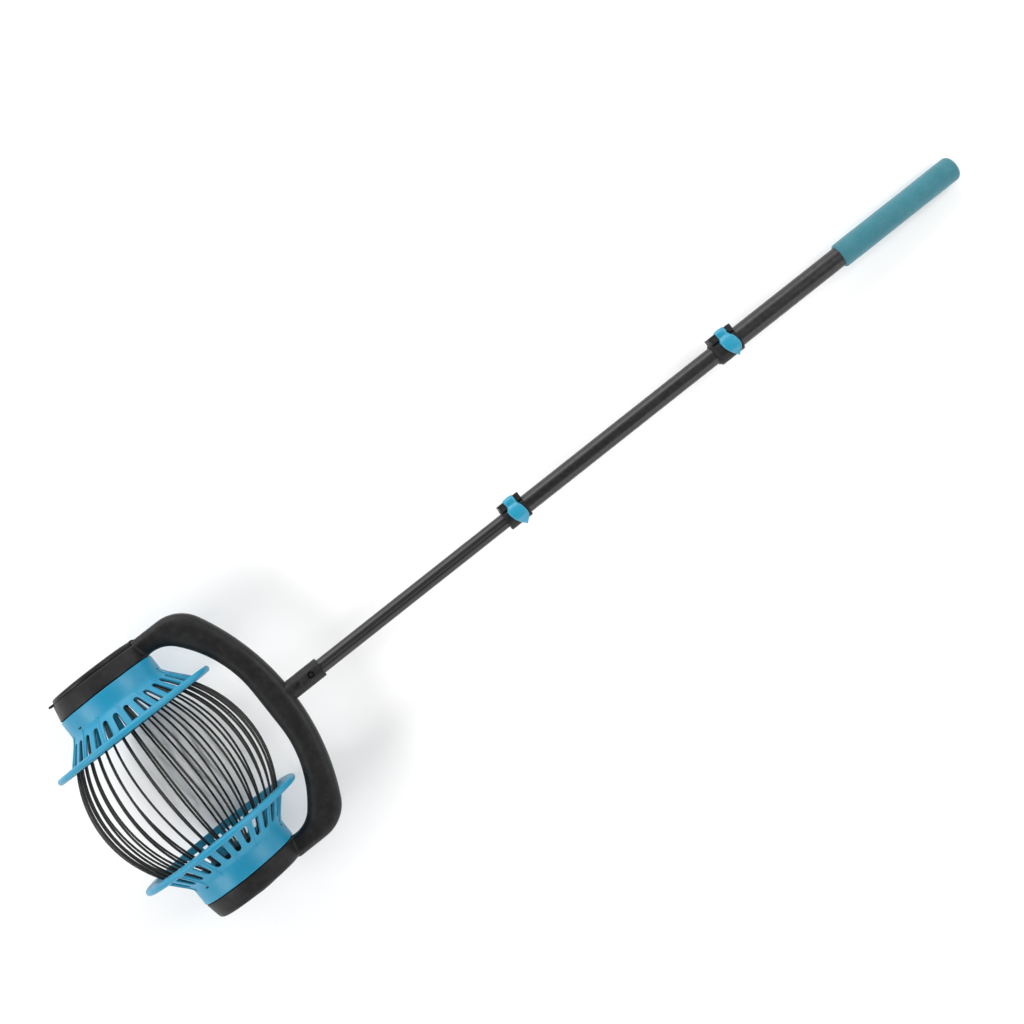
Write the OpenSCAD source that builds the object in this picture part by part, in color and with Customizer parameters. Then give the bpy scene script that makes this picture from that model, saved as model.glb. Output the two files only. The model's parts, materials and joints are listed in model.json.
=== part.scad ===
// Rolling fruit picker basket on a three-section telescopic pole.
// The basket lies on its two flanges and on the end of the grip, as it does when it is put down.
// X is the basket's axle, +Y runs up the pole to the grip, +Z is up and the floor is z = 0.
// Most modules draw in the tool's own frame: origin on the axle, Y straight along the pole.

/* [Basket] */
// Outer radius of the flanges that roll on the ground
flange_r = 105.5; // [100:0.5:112]
// Largest outer radius of the wire cage, at its middle
cage_r = 105; // [102:0.5:106]
// Radius of the arc that each wire follows, at its outer side
wire_arc_r = 143.7; // [142:0.1:146]
// Diameter of one wire
wire_d = 2.6; // [2:0.1:3]
// Number of wires
wire_count = 40; // [30:1:40]
// Outer radius of each cap's neck
neck_r = 62.1; // [61.8:0.1:62.6]
// Wall thickness of the caps
cap_wall = 2.6; // [2.2:0.1:2.8]
// Distance from the middle plane to the inner face of each flange
flange_inner_x = 75.5; // [74:0.5:76]
// Thickness of each flange
flange_t = 7.5; // [7:0.5:8]
// Distance from the middle plane to the outer end of each neck
neck_end_x = 131; // [130:0.5:131]
// Number of slots round each flare
slot_count = 30; // [20:2:32]
// Slot width at the neck end
slot_top_w = 7.2; // [5:0.1:8]
// Slot width at the flange end
slot_base_w = 9.8; // [7:0.1:11]

/* [Yoke] */
// Distance from the axle to the outer side of the bow
bow_outer_y = 163.2; // [162:0.1:165]
// Distance from the axle to the inner side of the bow
bow_inner_y = 127.3; // [126:0.1:130]
// Thickness of the bow, square to the pole
bow_t = 28; // [24:1:32]
// Distance from the middle plane to the outer faces of the hubs
hub_face_x = 154; // [153:0.5:154]
// Inner radius of the hubs, where the catch is tipped out
hub_bore_r = 49.5; // [46:0.5:49.5]
// Diameter of the pole socket
socket_d = 24; // [23:0.5:26]
// Distance from the axle to the open end of the socket
socket_end_y = 205.6; // [204:0.1:208]

/* [Pole] */
// Diameter of the lower tube
lower_d = 18; // [17.8:0.1:18]
// Diameter of the middle tube
middle_d = 22; // [21.9:0.1:22]
// Diameter of the top tube
top_d = 25; // [24.9:0.1:25.2]
// Wall thickness of the tubes
tube_wall = 1.1; // [1:0.05:1.15]
// Distance from the axle to the lower clamp
lower_clamp_y = 477.5; // [470:0.5:485]
// Distance from the axle to the upper clamp
upper_clamp_y = 790; // [785:0.5:795]
// Distance from the axle to the grip's front edge
grip_start_y = 982; // [960:1:1000]
// Distance from the axle to the grip's closed end
grip_end_y = 1160; // [1158:0.5:1170]
// Diameter of the foam grip
grip_d = 31; // [30:0.5:34]

/* [Hidden] */

blue = "#2b97bf";
grip_blue = "#2f93a8";
black = "#2a2b2d";
tube_black = "#1c1d1f";
steel = "#a8abae";
nylon = "#d9d8d0";

round_fn = 64;
running = 0.05;
gap = 0.4;

// The pole leans down until the rounded end of the grip rests on the floor.
grip_corner = 7;
lean_run = grip_end_y - grip_corner;
lean_rise = grip_d / 2 - grip_corner;
lean_reach = sqrt(lean_run * lean_run + lean_rise * lean_rise);
lean = asin((flange_r - grip_corner) / lean_reach) - atan2(lean_rise, lean_run);

// The origin is under the middle of the bounding box.
far_y = (grip_end_y - grip_corner) * cos(lean) + (grip_d / 2 - grip_corner) * sin(lean) + grip_corner;
axle_y = (flange_r - far_y) / 2;

// Basket
wire_r = wire_d / 2;
arc_r = wire_arc_r - wire_r;
arc_centre_r = cage_r - wire_arc_r;
wire_end_x = 109.5;
wire_half_angle = asin(wire_end_x / arc_r);
wire_phase = 0.9;
flange_back_x = flange_inner_x + flange_t;
rim_r = flange_t / 2;
flange_hole_r = 90;
flare_top_x = 108.4;
flare_base_r = 84.5;
flare_run = flare_base_r - neck_r;
flare_drop = flare_top_x - flange_back_x + 0.5;
flare_length = sqrt(flare_run * flare_run + flare_drop * flare_drop);
skin_r = cap_wall * flare_drop / flare_length;
skin_x = cap_wall * flare_run / flare_length;
neck_bore_r = neck_r - cap_wall;
bore_end_x = flare_top_x - skin_x + (cap_wall - skin_r) * flare_drop / flare_run;
slot_top_x = 102.5;
slot_base_x = flange_back_x + 0.6;
rib_phase = 11.6;
slot_phase = rib_phase + 180 / slot_count;
fin_count = slot_count / 2;
fin_t = 1.6;
fin_proud = 1.3;
fin_end_x = 111.6;
fin_foot_x = flange_back_x - 1.7;
window_phase = -37;
window_count = 3;
window_x = 113.4;
window_w = 4.8;
window_h = 2.2;

// Wire rings and bearings
ring_start_x = 106;
ring_web_x = 111.5;
ring_bore_r = 50;
ring_outer_r = neck_bore_r - running;
skirt_r = 57;
skirt_end_x = neck_end_x - 1;
sleeve_r = skirt_r - running;
spigot_r = 55.4;
spigot_end_x = 112.5;
sleeve_bore_r = spigot_r + running;

// Yoke
hub_base_r = 61.6;
hub_top_r = 57.4;
hub_inner_x = neck_end_x + 0.5;
lid_seat_x = 152;
lid_top_x = 158;
lid_r = 55.3;
lid_rim_r = hub_bore_r - 0.3;
lid_rim_x = 146;
lid_tab_y = 62;
lid_tab_w = 16;
lid_tab_t = 2.6;
hinge_x = 155;
hinge_y = 56.5;
hinge_pin_r = 1.2;
knuckle_r = 2.6;
knuckle_half = 8;
hub_disc_x = 149.5;
plug_r = 24;
plug_stem_r = 8;

outer_arc_r = 295;
outer_arc_y = bow_outer_y - outer_arc_r;
outer_corner_r = 45;
outer_line_x = 156.4;
outer_corner_x = outer_line_x - outer_corner_r;
outer_corner_y = outer_arc_y + sqrt(pow(outer_arc_r - outer_corner_r, 2) - pow(outer_corner_x, 2));
outer_turn = atan2(outer_corner_x, outer_corner_y - outer_arc_y);

inner_flat_x = 25;
inner_arc_r = 145;
inner_arc_y = bow_inner_y - inner_arc_r;
inner_corner_r = 35;
inner_line_x = hub_inner_x + 0.5;
inner_corner_x = inner_line_x - inner_corner_r;
inner_corner_y = inner_arc_y
    + sqrt(pow(inner_arc_r - inner_corner_r, 2) - pow(inner_corner_x - inner_flat_x, 2));
inner_turn = atan2(inner_corner_x - inner_flat_x, inner_corner_y - inner_arc_y);

arm_start_y = 54;
arm_t = 30;
corner_steps = 7;
bow_steps = 22;
bow_sides = 16;
bow_squareness = 0.72;

socket_r = socket_d / 2;
socket_floor_y = 150;
screw_y = 173.2;
button_y = 192;
button_r = 3.4;
button_flange_r = 4.2;
button_top_z = 10.6;
button_base_z = 4.4;
spring_w = 5;
spring_t = 0.8;

// Pole
lower_r = lower_d / 2;
middle_r = middle_d / 2;
top_r = top_d / 2;
grip_r = grip_d / 2;
lower_bore_r = lower_r - tube_wall;
middle_bore_r = middle_r - tube_wall;
top_bore_r = top_r - tube_wall;
groove_w = 1.8;
groove_depth = 0.6;
collar_lip = 6.5;
lower_start_y = socket_floor_y + 1;
lower_end_y = 590;
middle_start_y = lower_clamp_y + collar_lip;
middle_end_y = 860;
top_start_y = upper_clamp_y + collar_lip;
top_end_y = 1150;
bush_length = 15;
plug_stem = 7;

// Clamps: length, body radius, ear reach, lever axis, and where the lever sits along the collar
lower_clamp_length = 29.6;
lower_body_r = 14;
lower_barrel_x = -14.9;
lower_barrel_z = 9.2;
lower_barrel_y = [9.2, 22.8];
lower_paddle_y = [5.6, 27.4];
lower_paddle_x = 19.2;
lower_body_chamfer = 0.6;
upper_clamp_length = 34.8;
upper_body_r = 15.6;
upper_barrel_x = -16.2;
upper_barrel_z = 10.4;
upper_barrel_y = [13.6, 27];
upper_paddle_y = [11, 33.6];
upper_paddle_x = 18.2;
upper_body_chamfer = 3.5;
barrel_r = 5;
lever_pin_r = 1.6;
clamp_screw_r = 1.75;
slit = 1.6;
ear_bottom_z = -9;
paddle_t = 2.6;

module at_axle() {
    translate([0, axle_y, flange_r]) children();
}

module in_tool_frame() {
    at_axle() rotate([-lean, 0, 0]) children();
}

module on_side(side) {
    mirror([side < 0 ? 1 : 0, 0, 0]) children();
}

// Turns a profile's own axis onto the axle, growing outwards from the middle plane.
module round_axle() {
    rotate([0, 90, 0]) children();
}

module spin_copies(count, first) {
    for (k = [0 : count - 1]) rotate([0, 0, 180 - first - k * 360 / count]) children();
}

// A round piece along the pole, from one distance to another.
module rod(radius, from_y, to_y) {
    translate([0, from_y, 0]) rotate([-90, 0, 0]) cylinder(r = radius, h = to_y - from_y, $fn = round_fn);
}

module tube(outer, inner, from_y, to_y) {
    difference() {
        rod(outer, from_y, to_y);
        rod(inner, from_y - 1, to_y + 1);
    }
}

// ---- basket ----

module cap_outline() {
    rim_centre_r = flange_r - rim_r;
    rim_centre_x = flange_inner_x + rim_r;
    rim_steps = 8;
    polygon(concat(
        [
            [neck_bore_r, neck_end_x],
            [neck_r - 1.2, neck_end_x],
            [neck_r, neck_end_x - 1.2],
            [neck_r, flare_top_x],
            [flare_base_r, flange_back_x - 0.5],
            [flare_base_r, flange_back_x]
        ],
        [for (i = [0 : rim_steps]) let (a = 90 - 180 * i / rim_steps)
            [rim_centre_r + rim_r * cos(a), rim_centre_x + rim_r * sin(a)]],
        [
            [flange_hole_r, flange_inner_x],
            [flare_base_r - skin_r, flange_back_x - 0.5 - skin_x],
            [neck_bore_r, bore_end_x]
        ]
    ));
}

module cap_slot() {
    top_half = slot_top_w / 2;
    base_half = slot_base_w / 2;
    depth = flange_hole_r - neck_bore_r;
    translate([neck_bore_r, 0, 0]) rotate([0, 90, 0]) linear_extrude(height = depth) {
        polygon([
            [-slot_base_x, -base_half],
            [-slot_base_x, base_half],
            [-slot_top_x + top_half, top_half],
            [-slot_top_x + top_half, -top_half]
        ]);
        translate([-slot_top_x + top_half, 0]) circle(r = top_half, $fn = 24);
    }
}

module cap_fin() {
    rotate([90, 0, 0]) translate([0, 0, -fin_t / 2]) linear_extrude(height = fin_t) polygon([
        [neck_r - 1, fin_end_x],
        [neck_r, fin_end_x],
        [neck_r + fin_proud, fin_end_x - 3],
        [neck_r + fin_proud, flare_top_x + 0.5],
        [flare_base_r + fin_proud, flange_back_x - 0.5],
        [flare_base_r + fin_proud, fin_foot_x],
        [flare_base_r - 0.6, fin_foot_x],
        [neck_r - 1, flare_top_x - 0.5]
    ]);
}

module cap_window() {
    translate([neck_r, 0, window_x]) cube([2 * cap_wall + 4, window_w, window_h], center = true);
}

module end_cap(side) {
    color(blue) at_axle() on_side(side) round_axle() union() {
        difference() {
            rotate_extrude($fn = 120) cap_outline();
            spin_copies(slot_count, slot_phase) cap_slot();
            spin_copies(window_count, window_phase) cap_window();
        }
        spin_copies(fin_count, rib_phase) cap_fin();
    }
}

module left_cap() {
    end_cap(-1);
}

module right_cap() {
    end_cap(1);
}

module wire() {
    translate([arc_centre_r, 0, 0]) rotate([90, 0, 0]) rotate([0, 0, -wire_half_angle])
        rotate_extrude(angle = 2 * wire_half_angle, $fn = 96)
            translate([arc_r, 0]) circle(r = wire_r, $fn = 16);
}

module basket_wires() {
    color(tube_black) at_axle() round_axle() spin_copies(wire_count, wire_phase) wire();
}

// A ring that anchors the wire ends, with a skirt that carries the bearing sleeve.
// Three lugs on the skirt snap into the windows of the cap's neck.
module wire_ring(side) {
    lug_reach = neck_r - 0.4 - skirt_r;
    color(black) at_axle() on_side(side) round_axle() union() {
        rotate_extrude($fn = 120) polygon([
            [ring_bore_r, ring_start_x],
            [ring_outer_r, ring_start_x],
            [ring_outer_r, skirt_end_x],
            [skirt_r, skirt_end_x],
            [skirt_r, ring_web_x],
            [ring_bore_r, ring_web_x]
        ]);
        spin_copies(window_count, window_phase)
            translate([skirt_r + 0.5 + lug_reach / 2, 0, window_x])
                cube([lug_reach - 0.5, window_w - 0.6, window_h - 0.6], center = true);
    }
}

module left_wire_ring() {
    wire_ring(-1);
}

module right_wire_ring() {
    wire_ring(1);
}

module bearing_sleeve(side) {
    color(nylon) at_axle() on_side(side) round_axle() rotate_extrude($fn = 120) polygon([
        [sleeve_bore_r, spigot_end_x],
        [sleeve_r, spigot_end_x],
        [sleeve_r, skirt_end_x],
        [sleeve_bore_r, skirt_end_x]
    ]);
}

module left_bearing_sleeve() {
    bearing_sleeve(-1);
}

module right_bearing_sleeve() {
    bearing_sleeve(1);
}

// ---- yoke ----

// Points along the outer side of the bow, [x, y], from the left hub round to the middle plane.
function outer_half() = concat(
    [[-outer_line_x, arm_start_y], [-outer_line_x, (arm_start_y + outer_corner_y) / 2]],
    [for (i = [0 : corner_steps]) let (a = 90 - (90 - outer_turn) * i / corner_steps)
        [-outer_corner_x - outer_corner_r * sin(a), outer_corner_y + outer_corner_r * cos(a)]],
    [for (i = [1 : bow_steps / 2]) let (a = outer_turn * (1 - i / (bow_steps / 2)))
        [-outer_arc_r * sin(a), outer_arc_y + outer_arc_r * cos(a)]]
);

function inner_arc_point(x) = [
    -x, inner_arc_y + sqrt(pow(inner_arc_r, 2) - pow(max(x - inner_flat_x, 0), 2))
];

// Points along the inner side, paired one to one with the outer side.
function inner_half() = concat(
    [[-inner_line_x, arm_start_y], [-inner_line_x, (arm_start_y + inner_corner_y) / 2]],
    [for (i = [0 : corner_steps]) let (a = 90 - (90 - inner_turn) * i / corner_steps)
        [-inner_corner_x - inner_corner_r * sin(a), inner_corner_y + inner_corner_r * cos(a)]],
    [for (i = [1 : bow_steps / 2])
        inner_arc_point((inner_corner_x + inner_corner_r * sin(inner_turn)) * (1 - i / (bow_steps / 2)))]
);

function mirrored(points) = concat(
    points,
    [for (i = [len(points) - 2 : -1 : 0]) [-points[i][0], points[i][1]]]
);

// A rounded section: sine and cosine raised to a power below one square it up.
function softened(value) = sign(value) * pow(abs(value), bow_squareness);

function bow_ring(outer, inner, half_t) = [
    for (k = [0 : bow_sides - 1])
        let (a = 360 * (k + 0.5) / bow_sides)
        let (across = softened(cos(a)), up = softened(sin(a)))
        [
            (outer[0] + inner[0]) / 2 + across * (outer[0] - inner[0]) / 2,
            (outer[1] + inner[1]) / 2 + across * (outer[1] - inner[1]) / 2,
            up * half_t
        ]
];

module bow() {
    outer = mirrored(outer_half());
    inner = mirrored(inner_half());
    rings = len(outer);
    points = [
        for (i = [0 : rings - 1])
            let (from_end = abs(i - (rings - 1) / 2) / ((rings - 1) / 2))
            each bow_ring(outer[i], inner[i], (bow_t + (arm_t - bow_t) * from_end) / 2)
    ];
    sides = [
        for (i = [0 : rings - 2], k = [0 : bow_sides - 1])
            let (a = i * bow_sides + k, b = i * bow_sides + (k + 1) % bow_sides)
            [a, a + bow_sides, b + bow_sides, b]
    ];
    start = [for (k = [0 : bow_sides - 1]) k];
    finish = [for (k = [bow_sides - 1 : -1 : 0]) (rings - 1) * bow_sides + k];
    polyhedron(points = points, faces = concat(sides, [start, finish]), convexity = 6);
}

module open_hub() {
    rotate_extrude($fn = 120) polygon([
        [hub_bore_r, spigot_end_x],
        [spigot_r, spigot_end_x],
        [spigot_r, hub_inner_x],
        [hub_base_r, hub_inner_x],
        [hub_top_r, lid_seat_x],
        [hub_bore_r, lid_seat_x]
    ]);
}

module closed_hub() {
    rotate_extrude($fn = 120) polygon([
        [hub_bore_r, spigot_end_x],
        [spigot_r, spigot_end_x],
        [spigot_r, hub_inner_x],
        [hub_base_r, hub_inner_x],
        [hub_top_r + 1, hub_face_x - 5],
        [hub_top_r - 0.4, hub_face_x - 1.6],
        [hub_top_r - 3.4, hub_face_x],
        [plug_stem_r + running, hub_face_x],
        [plug_stem_r + running, hub_disc_x],
        [hub_bore_r, hub_disc_x]
    ]);
}

module knuckle_recess() {
    translate([-hinge_x, hinge_y, 0]) {
        cylinder(r = knuckle_r + 0.8, h = 2 * knuckle_half + 1, center = true, $fn = 32);
        cylinder(r = hinge_pin_r, h = 2 * knuckle_half + 5, center = true, $fn = 24);
    }
}

// The arm reaches past the open hub's end, so it is cut back round the closed lid.
module lid_seat() {
    on_side(-1) round_axle() translate([0, 0, lid_seat_x])
        cylinder(r = lid_r + 0.6, h = 8, $fn = 120);
}

module socket() {
    translate([0, socket_end_y - 1.2, 0]) rotate([-90, 0, 0])
        cylinder(r1 = socket_r, r2 = socket_r - 1.2, h = 1.2, $fn = round_fn);
    rod(socket_r, bow_inner_y + 12, socket_end_y - 1.2);
}

module yoke() {
    color(black) in_tool_frame() difference() {
        union() {
            bow();
            on_side(-1) round_axle() open_hub();
            round_axle() closed_hub();
            socket();
        }
        rod(lower_r + running, socket_floor_y, socket_end_y + 1);
        translate([0, button_y, 0]) cylinder(r = button_r + 0.6, h = socket_r + 1, $fn = 32);
        translate([0, screw_y, 0]) cylinder(r = 3, h = socket_r + 1, $fn = 32);
        knuckle_recess();
        lid_seat();
    }
}

module emptying_lid() {
    color(black) in_tool_frame() difference() {
        union() {
            on_side(-1) round_axle() rotate_extrude($fn = 120) polygon([
                [0, lid_seat_x + 0.3],
                [lid_rim_r - 2.5, lid_seat_x + 0.3],
                [lid_rim_r - 2.5, lid_rim_x],
                [lid_rim_r, lid_rim_x],
                [lid_rim_r, lid_seat_x + 0.3],
                [lid_r, lid_seat_x + 0.3],
                [lid_r, lid_top_x - 2.5],
                [lid_r - 2.5, lid_top_x - 0.6],
                [lid_r - 12, lid_top_x],
                [0, lid_top_x]
            ]);
            translate([-lid_seat_x - 0.3 - lid_tab_t, -lid_tab_y, -lid_tab_w / 2])
                cube([lid_tab_t, lid_tab_y - lid_r + 3, lid_tab_w]);
            translate([-hinge_x, hinge_y, 0])
                cylinder(r = knuckle_r, h = 2 * knuckle_half, center = true, $fn = 32);
            translate([-hinge_x - knuckle_r, hinge_y - 5, -knuckle_half])
                cube([2 * knuckle_r, 5, 2 * knuckle_half]);
        }
        translate([-hinge_x, hinge_y, 0])
            cylinder(r = hinge_pin_r + running, h = 30, center = true, $fn = 24);
    }
}

module lid_hinge_pin() {
    color(steel) in_tool_frame() translate([-hinge_x, hinge_y, 0])
        cylinder(r = hinge_pin_r, h = 2 * knuckle_half + 4, center = true, $fn = 24);
}

module hub_plug() {
    color(black) in_tool_frame() round_axle() rotate_extrude($fn = 64) polygon([
        [0, hub_disc_x - 1],
        [plug_stem_r, hub_disc_x - 1],
        [plug_stem_r, hub_face_x],
        [plug_r, hub_face_x],
        [plug_r, hub_face_x + 1.5],
        [plug_r - 4, lid_top_x],
        [0, lid_top_x]
    ]);
}

// ---- pole ----

module lower_tube() {
    color(tube_black) in_tool_frame() difference() {
        tube(lower_r, lower_bore_r, lower_start_y, lower_end_y);
        translate([-groove_w / 2, socket_end_y, lower_r - groove_depth])
            cube([groove_w, lower_end_y - bush_length - socket_end_y, 3]);
        translate([0, button_y, 0]) cylinder(r = button_r + 0.1, h = lower_r + 1, $fn = 32);
        translate([0, screw_y, 0]) cylinder(r = 1.5, h = lower_r + 1, $fn = 24);
    }
}

module lower_tube_bush() {
    color(nylon) in_tool_frame()
        tube(middle_bore_r - running, lower_r, lower_end_y - bush_length, lower_end_y);
}

module socket_screw() {
    color(steel) in_tool_frame() translate([0, screw_y, 0]) difference() {
        union() {
            translate([0, 0, lower_r + 0.2]) cylinder(r = 2.8, h = 1.6, $fn = 32);
            translate([0, 0, lower_bore_r - 2]) cylinder(r = 1.5, h = 4, $fn = 24);
        }
        translate([0, 0, lower_r + 1]) cylinder(r = 1.2, h = 2, $fn = 6);
    }
}

module snap_button() {
    color(steel) in_tool_frame() translate([0, button_y, 0]) {
        translate([0, 0, button_base_z])
                cylinder(r = button_r, h = button_top_z - 1 - button_base_z, $fn = 32);
        translate([0, 0, button_top_z - 1]) cylinder(r1 = button_r, r2 = button_r - 1, h = 1, $fn = 32);
        translate([0, 0, button_base_z]) cylinder(r = button_flange_r, h = 1.4, $fn = 32);
    }
}

// A leaf bent to a V: one leg lies on the floor of the tube, the other pushes the button up.
module snap_button_spring() {
    leg = 30;
    floor_z = -lower_bore_r + 0.9;
    under_z = button_base_z - 0.1;
    color(steel) in_tool_frame() translate([spring_w / 2, button_y, 0]) rotate([0, -90, 0])
        linear_extrude(height = spring_w) polygon([
            [floor_z, 3],
            [floor_z, -leg],
            [under_z, 3],
            [under_z - spring_t, 3],
            [floor_z + spring_t, -leg + 4],
            [floor_z + spring_t, 3]
        ]);
}

module middle_tube() {
    color(tube_black) in_tool_frame() difference() {
        tube(middle_r, middle_bore_r, middle_start_y, middle_end_y);
        translate([-middle_r - 1, middle_start_y - 1, -slit / 2]) cube([middle_r, 19, slit]);
    }
}

module middle_tube_bush() {
    color(nylon) in_tool_frame()
        tube(top_bore_r - running, middle_r, middle_end_y - bush_length, middle_end_y);
}

module top_tube() {
    color(tube_black) in_tool_frame() difference() {
        tube(top_r, top_bore_r, top_start_y, top_end_y);
        translate([-top_r - 1, top_start_y - 1, -slit / 2]) cube([top_r, 23, slit]);
    }
}

module tube_end_plug() {
    color(black) in_tool_frame() union() {
        rod(top_bore_r - 0.02, top_end_y - plug_stem, top_end_y);
        rod(top_r, top_end_y, top_end_y + 2);
    }
}

module foam_grip() {
    front = 3;
    color(grip_blue) in_tool_frame() rotate([-90, 0, 0]) rotate_extrude($fn = 96) difference() {
        union() {
            translate([0, grip_start_y + front])
                square([grip_r, grip_end_y - grip_corner - grip_start_y - front]);
            translate([0, grip_start_y]) square([grip_r - front, front + 1]);
            translate([grip_r - front, grip_start_y + front]) circle(r = front, $fn = 32);
            translate([0, grip_end_y - grip_corner - 1]) square([grip_r - grip_corner, grip_corner + 1]);
            translate([grip_r - grip_corner, grip_end_y - grip_corner]) circle(r = grip_corner, $fn = 48);
        }
        translate([-grip_r, grip_start_y - 1])
            square([grip_r + top_r + 0.02, top_end_y + 2.02 - grip_start_y + 1]);
        translate([-2 * grip_r, grip_start_y - 1]) square([2 * grip_r, grip_end_y - grip_start_y + 10]);
    }
}

// ---- clamps ----

// A split collar on the end of an outer tube. Its forked ears carry the lever's barrel,
// and the clamp screw runs from the lever's pin down through the lower jaw.
module collar(start_y, length, body_r, chamfer, inner_r, seat_r, barrel, barrel_y, paddle_y, tip_x) {
    ear_x = barrel[0] - 3.2;
    ear_top_z = barrel[1] + 4.2;
    difference() {
        union() {
            translate([0, start_y, 0]) rotate([-90, 0, 0])
                cylinder(r1 = body_r - chamfer, r2 = body_r, h = chamfer, $fn = round_fn);
            rod(body_r, start_y + chamfer, start_y + length);
            translate([ear_x, start_y + chamfer, ear_bottom_z])
                cube([barrel[0] + barrel_r + gap - ear_x, length - chamfer, ear_top_z - ear_bottom_z]);
        }
        rod(inner_r + 0.1, start_y - 1, start_y + length + 1);
        rod(seat_r, start_y + collar_lip, start_y + length + 1);
        translate([-body_r - 10, start_y - 1, -slit / 2]) cube([body_r + 10, length + 2, slit]);
        translate([0, start_y, 0]) {
            translate([barrel[0], barrel_y[0] - gap, barrel[1]]) rotate([-90, 0, 0])
                cylinder(r = barrel_r + gap, h = barrel_y[1] - barrel_y[0] + 2 * gap, $fn = 48);
            translate([barrel[0] - 10, barrel_y[0] - gap, barrel[1]])
                cube([10 + barrel_r + gap, barrel_y[1] - barrel_y[0] + 2 * gap, 12]);
            translate([barrel[0], -1, barrel[1]]) rotate([-90, 0, 0])
                cylinder(r = lever_pin_r, h = length + 2, $fn = 24);
            translate([barrel[0], (barrel_y[0] + barrel_y[1]) / 2, ear_bottom_z - 1])
                cylinder(r = clamp_screw_r + 0.1, h = barrel[1] - ear_bottom_z, $fn = 24);
        }
        // Room for the paddle, which lies over the ears' inner corners.
        difference() {
            translate([0, start_y, 0]) linear_extrude(height = 30)
                paddle_outline(barrel[0] + barrel_r - 1.5, tip_x, paddle_y, 0.4);
            rod(body_r + 0.1, start_y - 1, start_y + length + 1);
        }
    }
}

// Cross-section of a lever: the barrel, the paddle's curve over the collar and its straight tip.
module lever_section(body_r, barrel, tip_x) {
    inner = body_r + 0.5;
    outer = inner + paddle_t;
    turn = 52;
    run = (tip_x - outer * sin(turn)) / cos(turn);
    difference() {
        union() {
            translate([barrel[0], barrel[1]]) circle(r = barrel_r, $fn = 48);
            intersection() {
                circle(r = outer, $fn = 96);
                polygon([
                    [0, 0],
                    2 * barrel,
                    [barrel[0], outer + 10],
                    [outer * sin(turn) * 2, outer * cos(turn) * 2]
                ]);
            }
            rotate([0, 0, -turn]) translate([0, inner]) square([run, paddle_t]);
        }
        circle(r = inner, $fn = 96);
    }
}

// Seen from above, the paddle is a rounded oval that hangs off the narrower barrel. Past the ears
// it starts clear of their reach, so that it swings over them.
module paddle_outline(start_x, tip_x, paddle_y, grow = 0) {
    mid_y = (paddle_y[0] + paddle_y[1]) / 2;
    half_w = (paddle_y[1] - paddle_y[0]) / 2;
    hull() {
        translate([start_x + 4, mid_y]) circle(r = half_w * 0.62 + grow, $fn = 32);
        translate([(start_x + tip_x) / 2 + 1, mid_y]) circle(r = half_w + grow, $fn = 48);
        translate([tip_x - half_w * 0.62, mid_y]) circle(r = half_w * 0.62 + grow, $fn = 32);
    }
}

module lever(start_y, body_r, barrel, barrel_y, paddle_y, tip_x) {
    length = barrel_y[1] - barrel_y[0];
    difference() {
        union() {
            translate([0, start_y + barrel_y[0], 0]) rotate([90, 0, 0]) mirror([0, 0, 1])
                linear_extrude(height = length) intersection() {
                    lever_section(body_r, barrel, tip_x);
                    translate([barrel[0] - barrel_r - 1, barrel[1] - barrel_r - 1])
                        square([2 * barrel_r + 4, 3 * barrel_r]);
                }
            difference() {
                intersection() {
                    translate([0, start_y + paddle_y[0] - 1, 0]) rotate([90, 0, 0]) mirror([0, 0, 1])
                        linear_extrude(height = paddle_y[1] - paddle_y[0] + 2)
                            lever_section(body_r, barrel, tip_x);
                    translate([0, start_y, 0]) linear_extrude(height = 40)
                        paddle_outline(barrel[0] + barrel_r - 1.5, tip_x, paddle_y);
                }
                translate([barrel[0], start_y, barrel[1]]) rotate([-90, 0, 0])
                    cylinder(r = barrel_r + 0.6, h = 60, $fn = 48);
            }
        }
        translate([barrel[0], start_y, barrel[1]]) rotate([-90, 0, 0])
            cylinder(r = lever_pin_r + running, h = 60, $fn = 24);
    }
}

module lever_pin(start_y, length, barrel) {
    translate([barrel[0], start_y + 0.6, barrel[1]]) rotate([-90, 0, 0])
        cylinder(r = lever_pin_r, h = length - 1.2, $fn = 24);
}

module clamp_screw(start_y, barrel, barrel_y) {
    shank = barrel[1] - barrel_r - 0.4 - ear_bottom_z;
    translate([barrel[0], start_y + (barrel_y[0] + barrel_y[1]) / 2, ear_bottom_z]) {
        cylinder(r = clamp_screw_r, h = shank, $fn = 24);
        translate([0, 0, -2]) cylinder(r = 3, h = 2, $fn = 6);
    }
}

lower_barrel = [lower_barrel_x, lower_barrel_z];
upper_barrel = [upper_barrel_x, upper_barrel_z];

module lower_collar() {
    color(black) in_tool_frame() collar(lower_clamp_y, lower_clamp_length, lower_body_r,
        lower_body_chamfer, lower_r, middle_r, lower_barrel, lower_barrel_y,
        lower_paddle_y, lower_paddle_x);
}

module upper_collar() {
    color(black) in_tool_frame() collar(upper_clamp_y, upper_clamp_length, upper_body_r,
        upper_body_chamfer, middle_r, top_r, upper_barrel, upper_barrel_y,
        upper_paddle_y, upper_paddle_x);
}

module lower_lever() {
    color(blue) in_tool_frame()
        lever(lower_clamp_y, lower_body_r, lower_barrel, lower_barrel_y, lower_paddle_y, lower_paddle_x);
}

module upper_lever() {
    color(blue) in_tool_frame()
        lever(upper_clamp_y, upper_body_r, upper_barrel, upper_barrel_y, upper_paddle_y, upper_paddle_x);
}

module lower_lever_pin() {
    color(steel) in_tool_frame() lever_pin(lower_clamp_y, lower_clamp_length, lower_barrel);
}

module upper_lever_pin() {
    color(steel) in_tool_frame()
        lever_pin(upper_clamp_y + upper_body_chamfer, upper_clamp_length - upper_body_chamfer, upper_barrel);
}

module lower_clamp_screw() {
    color(steel) in_tool_frame() clamp_screw(lower_clamp_y, lower_barrel, lower_barrel_y);
}

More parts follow.
